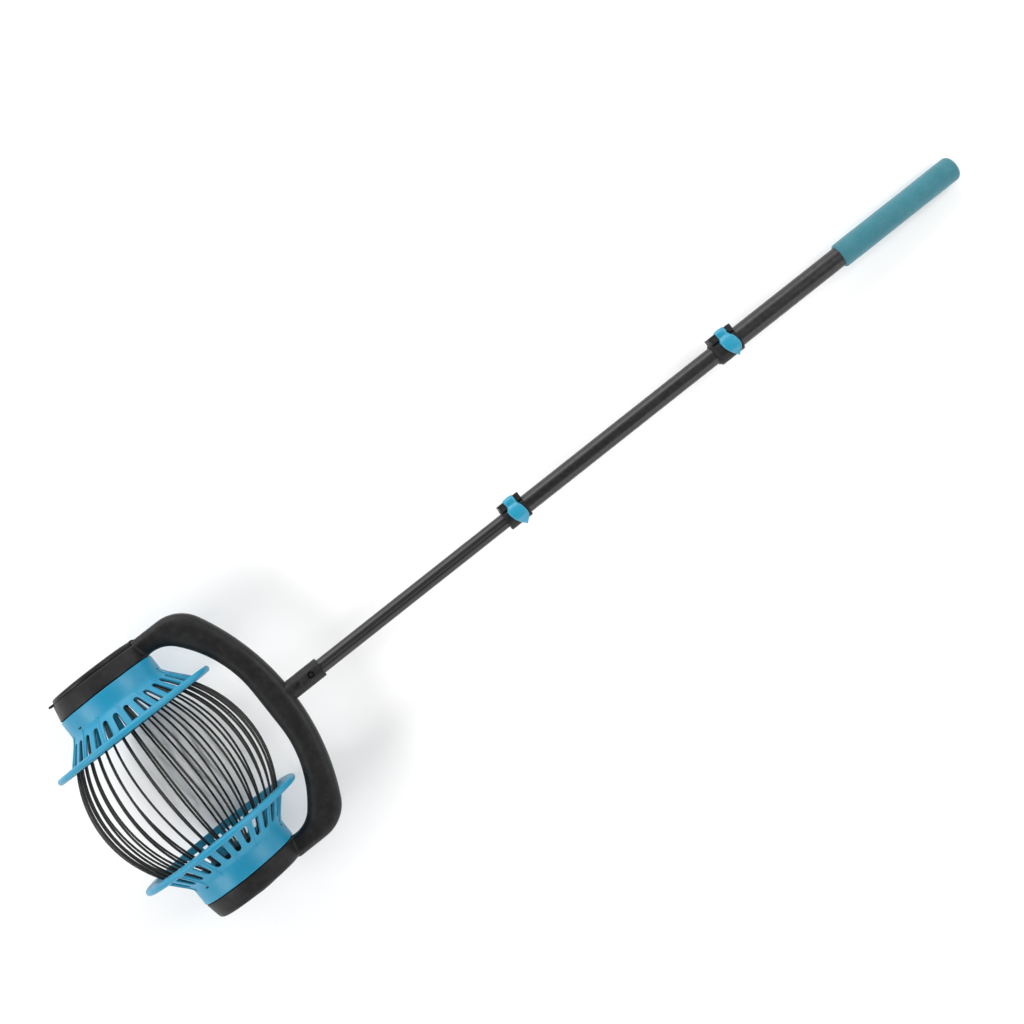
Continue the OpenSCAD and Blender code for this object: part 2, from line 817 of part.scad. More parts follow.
module upper_clamp_screw() {
    color(steel) in_tool_frame() clamp_screw(upper_clamp_y, upper_barrel, upper_barrel_y);
}

yoke();
emptying_lid();
lid_hinge_pin();
hub_plug();
left_cap();
right_cap();
basket_wires();
left_wire_ring();
right_wire_ring();
left_bearing_sleeve();
right_bearing_sleeve();
lower_tube();
lower_tube_bush();
socket_screw();
snap_button();
snap_button_spring();
middle_tube();
middle_tube_bush();
lower_collar();
lower_lever();
lower_lever_pin();
lower_clamp_screw();
top_tube();
upper_collar();
upper_lever();
upper_lever_pin();
upper_clamp_screw();
tube_end_plug();
foam_grip();
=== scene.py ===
# %% [markdown]
# # A rolling fruit picker basket
# A cage of sprung wires spins between the ends of a black yoke. Pushed over the grass, the wires
# part over a windfall and close behind it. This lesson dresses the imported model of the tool: it
# keeps every part where the design puts it, rebuilds the parts that show as smooth surfaces, and
# gives each one a material. Every new surface is worked out with numpy on a grid.

# %% Setup
import json
import math

import bmesh
import bpy
import numpy as np
from mathutils import Matrix, Vector


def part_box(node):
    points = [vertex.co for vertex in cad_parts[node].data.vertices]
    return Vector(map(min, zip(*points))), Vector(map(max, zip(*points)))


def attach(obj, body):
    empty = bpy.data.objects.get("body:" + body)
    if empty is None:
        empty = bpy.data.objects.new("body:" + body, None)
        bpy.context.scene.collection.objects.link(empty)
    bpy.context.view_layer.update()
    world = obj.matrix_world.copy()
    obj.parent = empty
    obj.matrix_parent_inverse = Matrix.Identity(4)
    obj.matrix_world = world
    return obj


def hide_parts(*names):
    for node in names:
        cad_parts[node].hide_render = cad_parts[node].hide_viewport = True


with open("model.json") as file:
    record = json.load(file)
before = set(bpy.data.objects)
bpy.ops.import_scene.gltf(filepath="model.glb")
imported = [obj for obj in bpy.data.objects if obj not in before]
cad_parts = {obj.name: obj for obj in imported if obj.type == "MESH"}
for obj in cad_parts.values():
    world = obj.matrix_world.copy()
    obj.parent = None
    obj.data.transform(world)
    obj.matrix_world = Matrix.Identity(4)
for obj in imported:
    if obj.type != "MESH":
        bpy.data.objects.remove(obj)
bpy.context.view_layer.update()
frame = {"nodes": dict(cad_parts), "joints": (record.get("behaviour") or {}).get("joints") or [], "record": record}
MM = 0.001

# %% [markdown]
# ## Where things are
# The pole leans down from the axle to the floor, so the design has a frame of its own: its origin
# is on the axle and Y runs straight up the pole. The telescope's slide gives that lean, and the
# box round the wires gives the axle. Everything along the pole is then placed in this tool frame.

# %% Tool frame
joints = {joint["name"]: joint for joint in frame["joints"]}
slide = joints["lower_telescope"]["axis"]
lean = math.atan2(slide[2], -slide[1])
right_low, right_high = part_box("right_cap")
axle = np.array([0.0, (right_low[1] + right_high[1]) / 2, (right_low[2] + right_high[2]) / 2])
flange_r = (right_high[2] - right_low[2]) / 2


def from_tool(points):
    """Turns points by the lean about X, then moves their origin onto the axle."""
    points = np.asarray(points, dtype=float)
    x, y, z = points[..., 0], points[..., 1], points[..., 2]
    turned_y = y * math.cos(lean) + z * math.sin(lean)
    turned_z = z * math.cos(lean) - y * math.sin(lean)
    return np.stack([x, turned_y, turned_z], axis=-1) + axle


def from_axle(points):
    """Moves points onto the axle without the lean, for what spins round it."""
    return np.asarray(points, dtype=float) + axle


print("lean:", round(math.degrees(lean), 3), "axle:", axle.round(4), "flange radius:", round(flange_r, 4))

# %% [markdown]
# ## Camera
# The tool lies on the floor and is seen from straight above, turned so that the pole runs to the
# upper right. A lens of about 61 mm, two metres up, gives the small bulge of the far and near
# edges of the caps. The camera comes first, because everything else is judged through it.

# %% Camera
camera_data = bpy.data.cameras.new("overhead_camera")
camera = bpy.data.objects.new("overhead_camera", camera_data)
bpy.context.collection.objects.link(camera)
bpy.context.scene.camera = camera
camera_data.sensor_width = 36.0
camera_data.lens = 61.45
camera_data.clip_end = 20.0
camera_height = 2.098
camera_tip = math.radians(1.583)
camera_turn = math.radians(51.79)
camera_place = Vector((-0.0591, axle[1] + 0.4879, camera_height))
looking = Vector((math.sin(camera_tip), 0.0, -math.cos(camera_tip)))
level = Vector((math.cos(camera_turn), math.sin(camera_turn), 0.0))
back = -looking
right = (level - back * level.dot(back)).normalized()
up = back.cross(right)
turn = Matrix((right, up, back)).transposed().to_4x4()
camera.matrix_world = Matrix.Translation(camera_place) @ turn
print("camera at", [round(v, 3) for v in camera.location])

# %% [markdown]
# ## Light
# A black tube shows its lights as bands: here a bright one on the left, a faint one on the right
# and a dark middle. So the air is dim overhead and bright at the horizon, one long soft box stands
# low on the left and a weaker one on the right. Two more, past the head and past the grip, light
# the blue parts and the floor, and the tubes don't mirror those towards the camera.

# %% Air that is dim overhead
world = bpy.data.worlds.new("studio_air")
bpy.context.scene.world = world
world.use_nodes = True
air = world.node_tree
world_light = air.nodes["Background"]
world_light.inputs["Color"].default_value = (1.0, 1.0, 1.0, 1.0)
heading = air.nodes.new("ShaderNodeTexCoord")
split = air.nodes.new("ShaderNodeSeparateXYZ")
falloff = air.nodes.new("ShaderNodeMapRange")
falloff.inputs["From Min"].default_value = 0.25
falloff.inputs["From Max"].default_value = 0.95
falloff.inputs["To Min"].default_value = 1.0
falloff.inputs["To Max"].default_value = 0.20
air.links.new(heading.outputs["Generated"], split.inputs["Vector"])
air.links.new(split.outputs["Z"], falloff.inputs["Value"])
air.links.new(falloff.outputs["Result"], world_light.inputs["Strength"])
bpy.context.scene.view_settings.view_transform = "Standard"
print("air:", len(air.nodes), "nodes")

# %% Soft boxes and floor


def soft_box(name, place, aim, size_x, size_y, radiance):
    """A rectangular area light; its power is radiance times pi times its area."""
    data = bpy.data.lights.new(name, "AREA")
    data.shape = "RECTANGLE"
    data.size = size_x
    data.size_y = size_y
    data.energy = radiance * math.pi * size_x * size_y
    lamp = bpy.data.objects.new(name, data)
    bpy.context.collection.objects.link(lamp)
    lamp.location = place
    lamp.rotation_euler = (Vector(aim) - Vector(place)).to_track_quat("-Z", "Y").to_euler()
    return lamp


soft_box("left_box", (-2.3, 0.0, 1.15), (0.0, 0.0, 0.05), 2.9, 1.5, 3.2)
soft_box("right_box", (2.4, 0.0, 1.0), (0.0, 0.0, 0.05), 2.9, 1.2, 1.6)
soft_box("head_box", (0.0, -2.5, 2.1), (0.0, -0.4, 0.05), 1.8, 1.3, 6.0)
soft_box("grip_box", (0.0, 2.5, 2.3), (0.0, 0.2, 0.05), 1.8, 1.3, 6.0)

floor_mesh = bpy.data.meshes.new("pale_floor")
floor_mesh.from_pydata([(-9, -9, 0), (9, -9, 0), (9, 9, 0), (-9, 9, 0)], [], [(0, 1, 2, 3)])
floor = bpy.data.objects.new("pale_floor", floor_mesh)
bpy.context.collection.objects.link(floor)
floor_paint = bpy.data.materials.new("pale_floor")
floor_paint.use_nodes = True
floor_bsdf = floor_paint.node_tree.nodes["Principled BSDF"]
floor_bsdf.inputs["Base Color"].default_value = (0.93, 0.93, 0.93, 1.0)
floor_bsdf.inputs["Roughness"].default_value = 0.9
floor_mesh.materials.append(floor_paint)

# %% [markdown]
# ## Small tools for node trees
# A material is a graph. These three helpers add a node, join two sockets and make an empty group,
# so that each finish below reads as a short list of steps.

# %% Node helpers


def add_node(tree, kind, **settings):
    """A new node with its plain properties set by name."""
    node = tree.nodes.new(kind)
    for key, value in settings.items():
        setattr(node, key, value)
    return node


def join(tree, source, target):
    """One link from an output socket to an input socket."""
    tree.links.new(source, target)


def new_group(name, inputs, outputs):
    """A shader group with named sockets: inputs as (name, kind, default), outputs as (name, kind)."""
    tree = bpy.data.node_groups.new(name, "ShaderNodeTree")
    for title, kind, default in inputs:
        socket = tree.interface.new_socket(name=title, in_out="INPUT", socket_type=kind)
        socket.default_value = default
    for title, kind in outputs:
        tree.interface.new_socket(name=title, in_out="OUTPUT", socket_type=kind)
    return tree, add_node(tree, "NodeGroupInput"), add_node(tree, "NodeGroupOutput")


def math_node(tree, operation, first, second):
    """A Math node whose inputs are sockets or plain numbers."""
    node = add_node(tree, "ShaderNodeMath", operation=operation)
    for slot_index, value in enumerate((first, second)):
        if isinstance(value, (int, float)):
            node.inputs[slot_index].default_value = value
        else:
            join(tree, value, node.inputs[slot_index])
    return node.outputs[0]


def ramp_node(tree, value, low, high):
    """A Map Range node that takes low..high to 0..1 and clamps."""
    node = add_node(tree, "ShaderNodeMapRange")
    node.inputs["From Min"].default_value = low
    node.inputs["From Max"].default_value = high
    join(tree, value, node.inputs["Value"])
    return node.outputs["Result"]


print("node helpers ready")

# %% [markdown]
# ## Shared effects
# Handled plastic is never one colour. Four effects return on several parts: slow blotches of tone,
# the fine skin that a mould leaves, the pale rub along proud edges, and dust that settles on what
# faces up. Each is a group with its own amount and scale, built once.

# %% Effect: slow blotches
blotch_tree, blotch_in, blotch_out = new_group(
    "slow_blotches",
    [("Scale", "NodeSocketFloat", 20.0), ("Low", "NodeSocketFloat", 0.9), ("High", "NodeSocketFloat", 1.1)],
    [("Value", "NodeSocketFloat")],
)
place = add_node(blotch_tree, "ShaderNodeTexCoord")
cloud = add_node(blotch_tree, "ShaderNodeTexNoise")
cloud.inputs["Detail"].default_value = 4.0
cloud.inputs["Roughness"].default_value = 0.6
join(blotch_tree, place.outputs["Object"], cloud.inputs["Vector"])
join(blotch_tree, blotch_in.outputs["Scale"], cloud.inputs["Scale"])
spread = add_node(blotch_tree, "ShaderNodeMapRange")
spread.inputs["From Min"].default_value = 0.3
spread.inputs["From Max"].default_value = 0.7
join(blotch_tree, cloud.outputs["Fac"], spread.inputs["Value"])
join(blotch_tree, blotch_in.outputs["Low"], spread.inputs["To Min"])
join(blotch_tree, blotch_in.outputs["High"], spread.inputs["To Max"])
join(blotch_tree, spread.outputs["Result"], blotch_out.inputs["Value"])
print(blotch_tree.name)

# %% Effect: mould skin
skin_tree, skin_in, skin_out = new_group(
    "mould_skin",
    [
        ("Scale", "NodeSocketFloat", 1500.0),
        ("Strength", "NodeSocketFloat", 0.1),
        ("Depth", "NodeSocketFloat", 0.0001),
    ],
    [("Normal", "NodeSocketVector")],
)
place = add_node(skin_tree, "ShaderNodeTexCoord")
pits = add_node(skin_tree, "ShaderNodeTexNoise")
pits.inputs["Detail"].default_value = 3.0
waves = add_node(skin_tree, "ShaderNodeTexNoise")
waves.inputs["Scale"].default_value = 60.0
waves.inputs["Detail"].default_value = 1.0
join(skin_tree, place.outputs["Object"], pits.inputs["Vector"])
join(skin_tree, place.outputs["Object"], waves.inputs["Vector"])
join(skin_tree, skin_in.outputs["Scale"], pits.inputs["Scale"])
swell = math_node(skin_tree, "MULTIPLY", waves.outputs["Fac"], 1.6)
height = math_node(skin_tree, "ADD", pits.outputs["Fac"], swell)
dent = add_node(skin_tree, "ShaderNodeBump")
join(skin_tree, height, dent.inputs["Height"])
join(skin_tree, skin_in.outputs["Strength"], dent.inputs["Strength"])
join(skin_tree, skin_in.outputs["Depth"], dent.inputs["Distance"])
join(skin_tree, dent.outputs["Normal"], skin_out.inputs["Normal"])
print(skin_tree.name)

# %% Effect: rubbed edges
rub_tree, rub_in, rub_out = new_group(
    "rubbed_edges",
    [("Amount", "NodeSocketFloat", 0.5), ("Scale", "NodeSocketFloat", 220.0)],
    [("Mask", "NodeSocketFloat")],
)
shape = add_node(rub_tree, "ShaderNodeNewGeometry")
place = add_node(rub_tree, "ShaderNodeTexCoord")
chips = add_node(rub_tree, "ShaderNodeTexNoise")
chips.inputs["Detail"].default_value = 5.0
join(rub_tree, place.outputs["Object"], chips.inputs["Vector"])
join(rub_tree, rub_in.outputs["Scale"], chips.inputs["Scale"])
proud = ramp_node(rub_tree, shape.outputs["Pointiness"], 0.52, 0.62)
broken = ramp_node(rub_tree, chips.outputs["Fac"], 0.4, 0.62)
rubbed = math_node(rub_tree, "MULTIPLY", proud, broken)
mask = math_node(rub_tree, "MULTIPLY", rubbed, rub_in.outputs["Amount"])
join(rub_tree, mask, rub_out.inputs["Mask"])
print(rub_tree.name)

# %% Effect: settled dust
dust_tree, dust_in, dust_out = new_group(
    "settled_dust",
    [("Amount", "NodeSocketFloat", 0.2), ("Scale", "NodeSocketFloat", 90.0)],
    [("Mask", "NodeSocketFloat")],
)
shape = add_node(dust_tree, "ShaderNodeNewGeometry")
place = add_node(dust_tree, "ShaderNodeTexCoord")
split = add_node(dust_tree, "ShaderNodeSeparateXYZ")
specks = add_node(dust_tree, "ShaderNodeTexNoise")
specks.inputs["Detail"].default_value = 8.0
specks.inputs["Roughness"].default_value = 0.72
join(dust_tree, shape.outputs["Normal"], split.inputs["Vector"])
join(dust_tree, place.outputs["Object"], specks.inputs["Vector"])
join(dust_tree, dust_in.outputs["Scale"], specks.inputs["Scale"])
upward = ramp_node(dust_tree, split.outputs["Z"], 0.1, 1.0)
patchy = ramp_node(dust_tree, specks.outputs["Fac"], 0.45, 0.75)
dusty = math_node(dust_tree, "MULTIPLY", upward, patchy)
mask = math_node(dust_tree, "MULTIPLY", dusty, dust_in.outputs["Amount"])
join(dust_tree, mask, dust_out.inputs["Mask"])
print(dust_tree.name)

# %% [markdown]
# ## Finishes
# Every finish follows one recipe: a base colour with blotches, paler where edges are rubbed and
# where dust lies, a roughness that wanders a little, and the mould's skin as a bump. The recipe is
# one function, and each finish is a call with its own numbers. What is the same all over, such as
# coat or sheen, is set straight on the shader.

# %% Recipe for a finish


def place_group(tree, group, **values):
    """A group node with its inputs set by name."""
    node = add_node(tree, "ShaderNodeGroup")
    node.node_tree = group
    for key, value in values.items():
        node.inputs[key].default_value = value
    return node


def mix_colour(tree, factor, first, second):
    """A Mix node for colours: the inputs are sockets or plain colours."""
    node = add_node(tree, "ShaderNodeMix", data_type="RGBA")
    join(tree, factor, node.inputs["Factor"])
    for index, value in ((6, first), (7, second)):
        if isinstance(value, tuple):
            node.inputs[index].default_value = (*value, 1.0)
        else:
            join(tree, value, node.inputs[index])
    return node.outputs[2]


def make_finish(name, dark, light, worn, roughness, blotch=20.0, skin=1500.0, depth=0.00008, strength=0.25,
                rub=0.5, dust=0.15, metallic=0.0, **shader):
    """Blotched colour between dark and light, rubbed edges, dust, wandering roughness and a fine bump."""
    material = bpy.data.materials.new(name)
    material.use_nodes = True
    tree = material.node_tree
    bsdf = tree.nodes["Principled BSDF"]
    tone = place_group(tree, blotch_tree, Scale=blotch, Low=0.0, High=1.0)
    base = mix_colour(tree, tone.outputs["Value"], dark, light)
    edges = place_group(tree, rub_tree, Amount=rub)
    base = mix_colour(tree, edges.outputs["Mask"], base, worn)
    settled = place_group(tree, dust_tree, Amount=dust)
    base = mix_colour(tree, settled.outputs["Mask"], base, (0.42, 0.41, 0.38))
    join(tree, base, bsdf.inputs["Base Color"])
    shine = place_group(tree, blotch_tree, Scale=blotch * 3.1, Low=roughness * 0.86, High=roughness * 1.14)
    dulled = math_node(tree, "MULTIPLY", settled.outputs["Mask"], 0.3)
    rougher = math_node(tree, "ADD", shine.outputs["Value"], dulled)
    join(tree, rougher, bsdf.inputs["Roughness"])
    grain = place_group(tree, skin_tree, Scale=skin, Strength=strength, Depth=depth)
    join(tree, grain.outputs["Normal"], bsdf.inputs["Normal"])
    bsdf.inputs["Metallic"].default_value = metallic
    for key, value in shader.items():
        bsdf.inputs[key.replace("_", " ")].default_value = value
    return material


print("finish recipe ready")

# %% The finishes
finishes = {
    "black_plastic": make_finish(
        "satin_black_plastic", (0.0075, 0.0075, 0.0078), (0.0115, 0.0115, 0.0118), (0.05, 0.05, 0.052), 0.46,
        rub=0.3, dust=0.03, Specular_IOR_Level=0.22),
    "blue_plastic": make_finish(
        "cyan_blue_plastic", (0.006, 0.222, 0.372), (0.010, 0.248, 0.408), (0.10, 0.42, 0.58), 0.40, rub=0.4,
        dust=0.03, Specular_IOR_Level=0.42),
    "lever_blue": make_finish(
        "lever_blue_plastic", (0.012, 0.255, 0.40), (0.020, 0.285, 0.44), (0.22, 0.56, 0.70), 0.30, rub=0.6,
        dust=0.02),
    "tube_black": make_finish(
        "black_powder_coat", (0.004, 0.004, 0.004), (0.006, 0.006, 0.006), (0.05, 0.05, 0.05), 0.33,
        blotch=60.0, skin=2600.0, depth=0.00005, rub=0.3, dust=0.015),
    "wire_black": make_finish(
        "coated_spring_wire", (0.004, 0.004, 0.0035), (0.010, 0.009, 0.008), (0.06, 0.055, 0.05), 0.36,
        blotch=90.0, skin=3000.0, depth=0.00003, rub=0.2, dust=0.0, Specular_IOR_Level=0.4),
    "steel": make_finish(
        "plated_steel", (0.42, 0.43, 0.44), (0.55, 0.56, 0.57), (0.7, 0.7, 0.7), 0.28,
        blotch=120.0, metallic=1.0, skin=2500.0, depth=0.00002, rub=0.3, dust=0.02),
    "nylon": make_finish(
        "natural_nylon", (0.60, 0.59, 0.54), (0.68, 0.67, 0.62), (0.75, 0.74, 0.7), 0.45,
        blotch=50.0, rub=0.1, dust=0.05),
}
print("finishes:", sorted(finishes))

# %% [markdown]
# The grip is closed-cell foam. Its skin is matt and slightly open: small round pores over a soft
# unevenness, and a faint sheen at grazing angles. A Voronoi pattern gives the pores, which are dented
# and painted darker as shade.

# %% Foam finish


def make_foam(name, dark, light):
    """Matt foam: pores from a Voronoi pattern, painted darker as shade, a soft unevenness under them and a grazing
    sheen.
    """
    material = bpy.data.materials.new(name)
    material.use_nodes = True
    tree = material.node_tree
    bsdf = tree.nodes["Principled BSDF"]
    place = add_node(tree, "ShaderNodeTexCoord")
    pores = add_node(tree, "ShaderNodeTexVoronoi")
    pores.inputs["Scale"].default_value = 900.0
    swell = add_node(tree, "ShaderNodeTexNoise")
    swell.inputs["Scale"].default_value = 160.0
    swell.inputs["Detail"].default_value = 6.0
    join(tree, place.outputs["Object"], pores.inputs["Vector"])
    join(tree, place.outputs["Object"], swell.inputs["Vector"])
    open_cell = ramp_node(tree, pores.outputs["Distance"], 0.15, 0.6)
    tone = place_group(tree, blotch_tree, Scale=35.0, Low=0.0, High=1.0)
    base = mix_colour(tree, tone.outputs["Value"], dark, light)
    # The pores are painted darker where the bump dents them: painted shade in the open cells.
    shade = math_node(tree, "MULTIPLY", math_node(tree, "SUBTRACT", 1.0, open_cell), 0.35)
    base = mix_colour(tree, shade, base, (dark[0] * 0.5, dark[1] * 0.6, dark[2] * 0.6))
    settled = place_group(tree, dust_tree, Amount=0.05)
    base = mix_colour(tree, settled.outputs["Mask"], base, (0.42, 0.41, 0.38))
    join(tree, base, bsdf.inputs["Base Color"])
    height = math_node(tree, "ADD", open_cell, math_node(tree, "MULTIPLY", swell.outputs["Fac"], 1.5))
    dent = add_node(tree, "ShaderNodeBump")
    dent.inputs["Strength"].default_value = 0.5
    dent.inputs["Distance"].default_value = 0.0003
    join(tree, height, dent.inputs["Height"])
    join(tree, dent.outputs["Normal"], bsdf.inputs["Normal"])
    bsdf.inputs["Roughness"].default_value = 0.78
    bsdf.inputs["Sheen Weight"].default_value = 0.25
    bsdf.inputs["Sheen Roughness"].default_value = 0.5
    return material


finishes["grip_foam"] = make_foam("teal_foam", (0.017, 0.150, 0.195), (0.027, 0.185, 0.232))
print("foam ready")

# %% [markdown]
# ## Dressing the kept parts
# Pins, screws, bushes and bearings are right as designed, so they only take their material, by the
# slot that the record names for each part. The socket screw and the snap button are then painted
# black instead: painted shade for the dark holes they sit in.

# %% Materials on the CAD parts
slots = {part["node"]: part["material_slot"] for part in frame["record"]["subparts"]}
for name, part in frame["nodes"].items():
    part.data.materials.clear()
    part.data.materials.append(finishes[slots[name]])
# The screw and the button take the black finish as painted shade for the dark holes they sit in.
for name in ("socket_screw", "snap_button"):
    frame["nodes"][name].data.materials[0] = finishes["tube_black"]
print("dressed", len(slots), "parts")

# %% [markdown]
# ## From arrays to pieces
# A piece starts as arrays of points and faces. One helper makes the mesh, merges what meets at
# seams and poles, points the faces outwards, shades it, and ties it to its body and its part.

# %% Making a piece


def grid_faces(rows, columns, wrap_rows=False, wrap_columns=True):
    """Four-cornered faces over a grid of points, joined round where a direction wraps."""
    i = np.arange(rows if wrap_rows else rows - 1)[:, None]
    j = np.arange(columns if wrap_columns else columns - 1)[None, :]
    i_next = (i + 1) % rows
    j_next = (j + 1) % columns
    corners = [i * columns + j, i * columns + j_next, i_next * columns + j_next, i_next * columns + j]
    return np.stack([np.broadcast_to(c, (i.size, j.size)) for c in corners], axis=-1).reshape(-1, 4)


def make_piece(name, parts, body, node, slot_name, sharp=35.0):
    """One object from a list of (points, faces): merged, facing outwards, and tied to its part."""
    points, faces, offset = [], [], 0
    for part_points, part_faces in parts:
        flat = np.asarray(part_points, dtype=float).reshape(-1, 3)
        points.append(flat)
        faces.extend((np.asarray(f) + offset).tolist() for f in part_faces)
        offset += len(flat)
    mesh = bpy.data.meshes.new(name)
    mesh.from_pydata(np.concatenate(points).tolist(), [], faces)
    tidy = bmesh.new()
    tidy.from_mesh(mesh)
    bmesh.ops.remove_doubles(tidy, verts=tidy.verts, dist=1e-6)
    bmesh.ops.dissolve_degenerate(tidy, edges=tidy.edges, dist=1e-7)
    bmesh.ops.recalc_face_normals(tidy, faces=tidy.faces)
    tidy.to_mesh(mesh)
    tidy.free()
    mesh.shade_smooth()
    mesh.set_sharp_from_angle(angle=math.radians(sharp))
    piece = bpy.data.objects.new(name, mesh)
    bpy.context.collection.objects.link(piece)
    mesh.materials.append(finishes[slot_name])
    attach(piece, body)
    if node:
        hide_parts(node)
    print(name, len(mesh.polygons), "faces")
    return piece


def soften_edges(piece, width, segments=2, angle=40.0):
    """A Bevel that rounds every edge sharper than the angle, as a mould does."""
    bevel = piece.modifiers.new("soft_edges", "BEVEL")
    bevel.width = width
    bevel.segments = segments
    bevel.limit_method = "ANGLE"
    bevel.angle_limit = math.radians(angle)
    bevel.harden_normals = True
    return bevel


def apply_modifiers(piece):
    """Replaces a piece's mesh by what its modifiers make of it."""
    done = piece.evaluated_get(bpy.context.evaluated_depsgraph_get())
    mesh = bpy.data.meshes.new_from_object(done)
    piece.modifiers.clear()
    piece.data = mesh
    return mesh


print("piece helpers ready")

# %% [markdown]
# ## Turned shapes
# Lids, tubes, hubs and the grip are profiles turned about an axis. A profile is a closed list of
# (radius, distance) pairs. Corners that are round on the part are arcs in the profile.

# %% Turning a profile


def arc(centre_r, centre_x, radius, start, end, steps):
    """Points (radius, distance) along an arc: the angle is 0 outwards and 90 degrees along the axis."""
    angle = np.radians(np.linspace(start, end, steps))
    return np.stack([centre_r + radius * np.cos(angle), centre_x + radius * np.sin(angle)], axis=-1)


def turned_about_x(profile, side=1, count=160):
    """Each (r, x) pair goes to (side*x, r sin a, r cos a) for every angle a."""
    profile = np.asarray(profile, dtype=float)
    angle = np.linspace(0, 2 * np.pi, count, endpoint=False)[None, :]
    r, x = profile[:, :1], profile[:, 1:]
    points = np.stack([side * x + 0 * angle, r * np.sin(angle), r * np.cos(angle)], axis=-1)
    return points * MM, grid_faces(len(profile), count, wrap_rows=True)


def turned_about_y(profile, count=96):
    """Each (r, y) pair goes to (r sin a, y, r cos a) for every angle a, along the pole."""
    profile = np.asarray(profile, dtype=float)
    angle = np.linspace(0, 2 * np.pi, count, endpoint=False)[None, :]
    r, y = profile[:, :1], profile[:, 1:]
    points = np.stack([r * np.sin(angle), y + 0 * angle, r * np.cos(angle)], axis=-1)
    return points * MM, grid_faces(len(profile), count, wrap_rows=True)


print("turning ready")

# %% [markdown]
# ## The slotted caps
# Each cap is one moulding: a neck that runs on the hub, a flare with thirty slots, and a round
# flange that rolls on the ground. A boolean with thirty cutters would leave ragged edges, so the
# cap is woven instead: its grid has columns that follow the slots' sides and a row that arches
# over their tops. The slots' cells are left out, and rounded walls join the outer skin to the
# inner one.

# %% Cap profile
cap_wall = 2.6
neck_r = 62.1
neck_end = 131.0
neck_bore_r = neck_r - cap_wall
flare_top = 108.4
flare_base_r = 84.5
flare_base = 82.5
flange_back = 83.0
flange_front = 75.5
flange_hole_r = 90.0
rim_r = (flange_back - flange_front) / 2
flare_slope = (flare_base_r - neck_r) / (flare_top - flare_base)
skin_depth = 3.44


def flare_outer(x):
    """Radius of the flare's outer skin: straight from the neck to the flange, with a soft break."""
    straight = neck_r + flare_slope * (flare_top - x)
    blend = 1.2
    return neck_r + blend * np.logaddexp(0, (straight - neck_r) / blend)


def flare_inner(x):
    """Radius of the inner skin, one skin depth below the outer, no less than the bore."""
    return np.maximum(flare_outer(x) - skin_depth, neck_bore_r)


print("flare radius at the flange:", round(float(flare_outer(flare_base)), 2))

# %% [markdown]
# A slot is a rounded slit with straight, slightly splayed sides. Its outline is a loop of points
# round the hole, and can be grown outwards a little: that gives the rings of a rounded edge.

# %% Slot outline
slot_count = 30
slot_phase = 17.6
slot_base = 83.6
slot_arch = 98.9
slot_top_half = 3.6
slot_base_half = 4.9
arch_angle = np.linspace(np.pi, 0, 9)
slot_rows = np.linspace(slot_base, slot_arch, 7)


def slot_half(x):
    """Half of the slot's width, falling evenly from its base to its arch."""
    part = np.clip((x - slot_base) / (slot_arch - slot_base), 0, 1)
    return slot_base_half + (slot_top_half - slot_base_half) * part


def slot_loop(grow):
    """The outline grown by a distance: base from left to right, right side, arch, left side."""
    base_x = slot_base - grow
    across = np.cos(arch_angle)
    base = np.stack([(slot_half(slot_base) + grow) * across, np.full(9, base_x)], axis=-1)
    side = slot_rows[1:-1]
    right_side = np.stack([slot_half(side) + grow, side], axis=-1)
    arch = np.stack([across[::-1], np.sin(arch_angle[::-1])], axis=-1) * (slot_top_half + grow)
    arch[:, 1] += slot_arch
    left_side = right_side[::-1] * (-1, 1)
    return np.concatenate([base, right_side, arch, left_side])


print("slot loop:", slot_loop(0.0).shape[0], "points")

# %% [markdown]
# Across one sector the grid has nine columns over the slot and nine over the rib beside it. Every
# second rib carries a thin fin that runs on up the neck, so the rib's columns are lifted there.
# The rows go once round the cap's wall: neck, flare, flange, inside of the flare and bore.

# %% Cap rows
edge_round = 0.45
fin_offsets = np.array([-1.15, -0.92, -0.8, -0.55, 0.0, 0.55, 0.8, 0.92, 1.15])
fin_lift = np.array([0.0, 0.15, 1.0, 1.3, 1.3, 1.3, 1.0, 0.15, 0.0])
sector = 2 * np.pi / slot_count
slot_centres = np.radians(slot_phase) + sector * np.arange(slot_count)
row_kinds = np.array([0] * 8 + [1] * 8 + [2] * 7 + [1] + [0] * 21 + [3] * 7 + [0] * 8)


def cap_rows(arch_x):
    """Radius and distance of every row where the slot's arch, or the line beside it, is at arch_x."""
    slot_x = slot_rows.copy()
    slot_x[0] = slot_base - edge_round
    slot_x[-1] = arch_x
    above = arch_x + (109.6 - arch_x) * np.array([0.25, 0.5, 0.75, 1.0])
    skin_x = np.concatenate([slot_x, above, [111.6, 113.5, 118.0, 124.0]])
    outer = np.stack([flare_outer(skin_x), skin_x], axis=-1)[::-1]
    inner = np.stack([flare_inner(skin_x), skin_x], axis=-1)
    bore_edge = arc(neck_bore_r + 0.5, neck_end - 0.5, 0.5, 180, 90, 3)
    neck_edge = arc(neck_r - 1.1, neck_end - 1.1, 1.1, 90, 0, 5)
    foot = [[84.9, flange_back], [86.5, flange_back]]
    rim = arc(flange_r / MM - rim_r, flange_back - rim_r, rim_r, 90, -90, 15)
    hole_edge = arc(flange_hole_r + 0.8, flange_front + 0.8, 0.8, 270, 200, 4)
    lip = [[flare_base_r - 1.97, 80.8]]
    return np.concatenate([bore_edge, neck_edge, outer, foot, rim, hole_edge, lip, inner])


print("rows round the wall:", len(cap_rows(slot_arch)), len(row_kinds))

# %% Cap skins and slot walls


def round_axle(side, r, x, angle):
    """The point at a radius, a distance along the axle and an angle from straight up."""
    return np.stack([side * x, r * np.sin(angle), r * np.cos(angle)], axis=-1) * MM


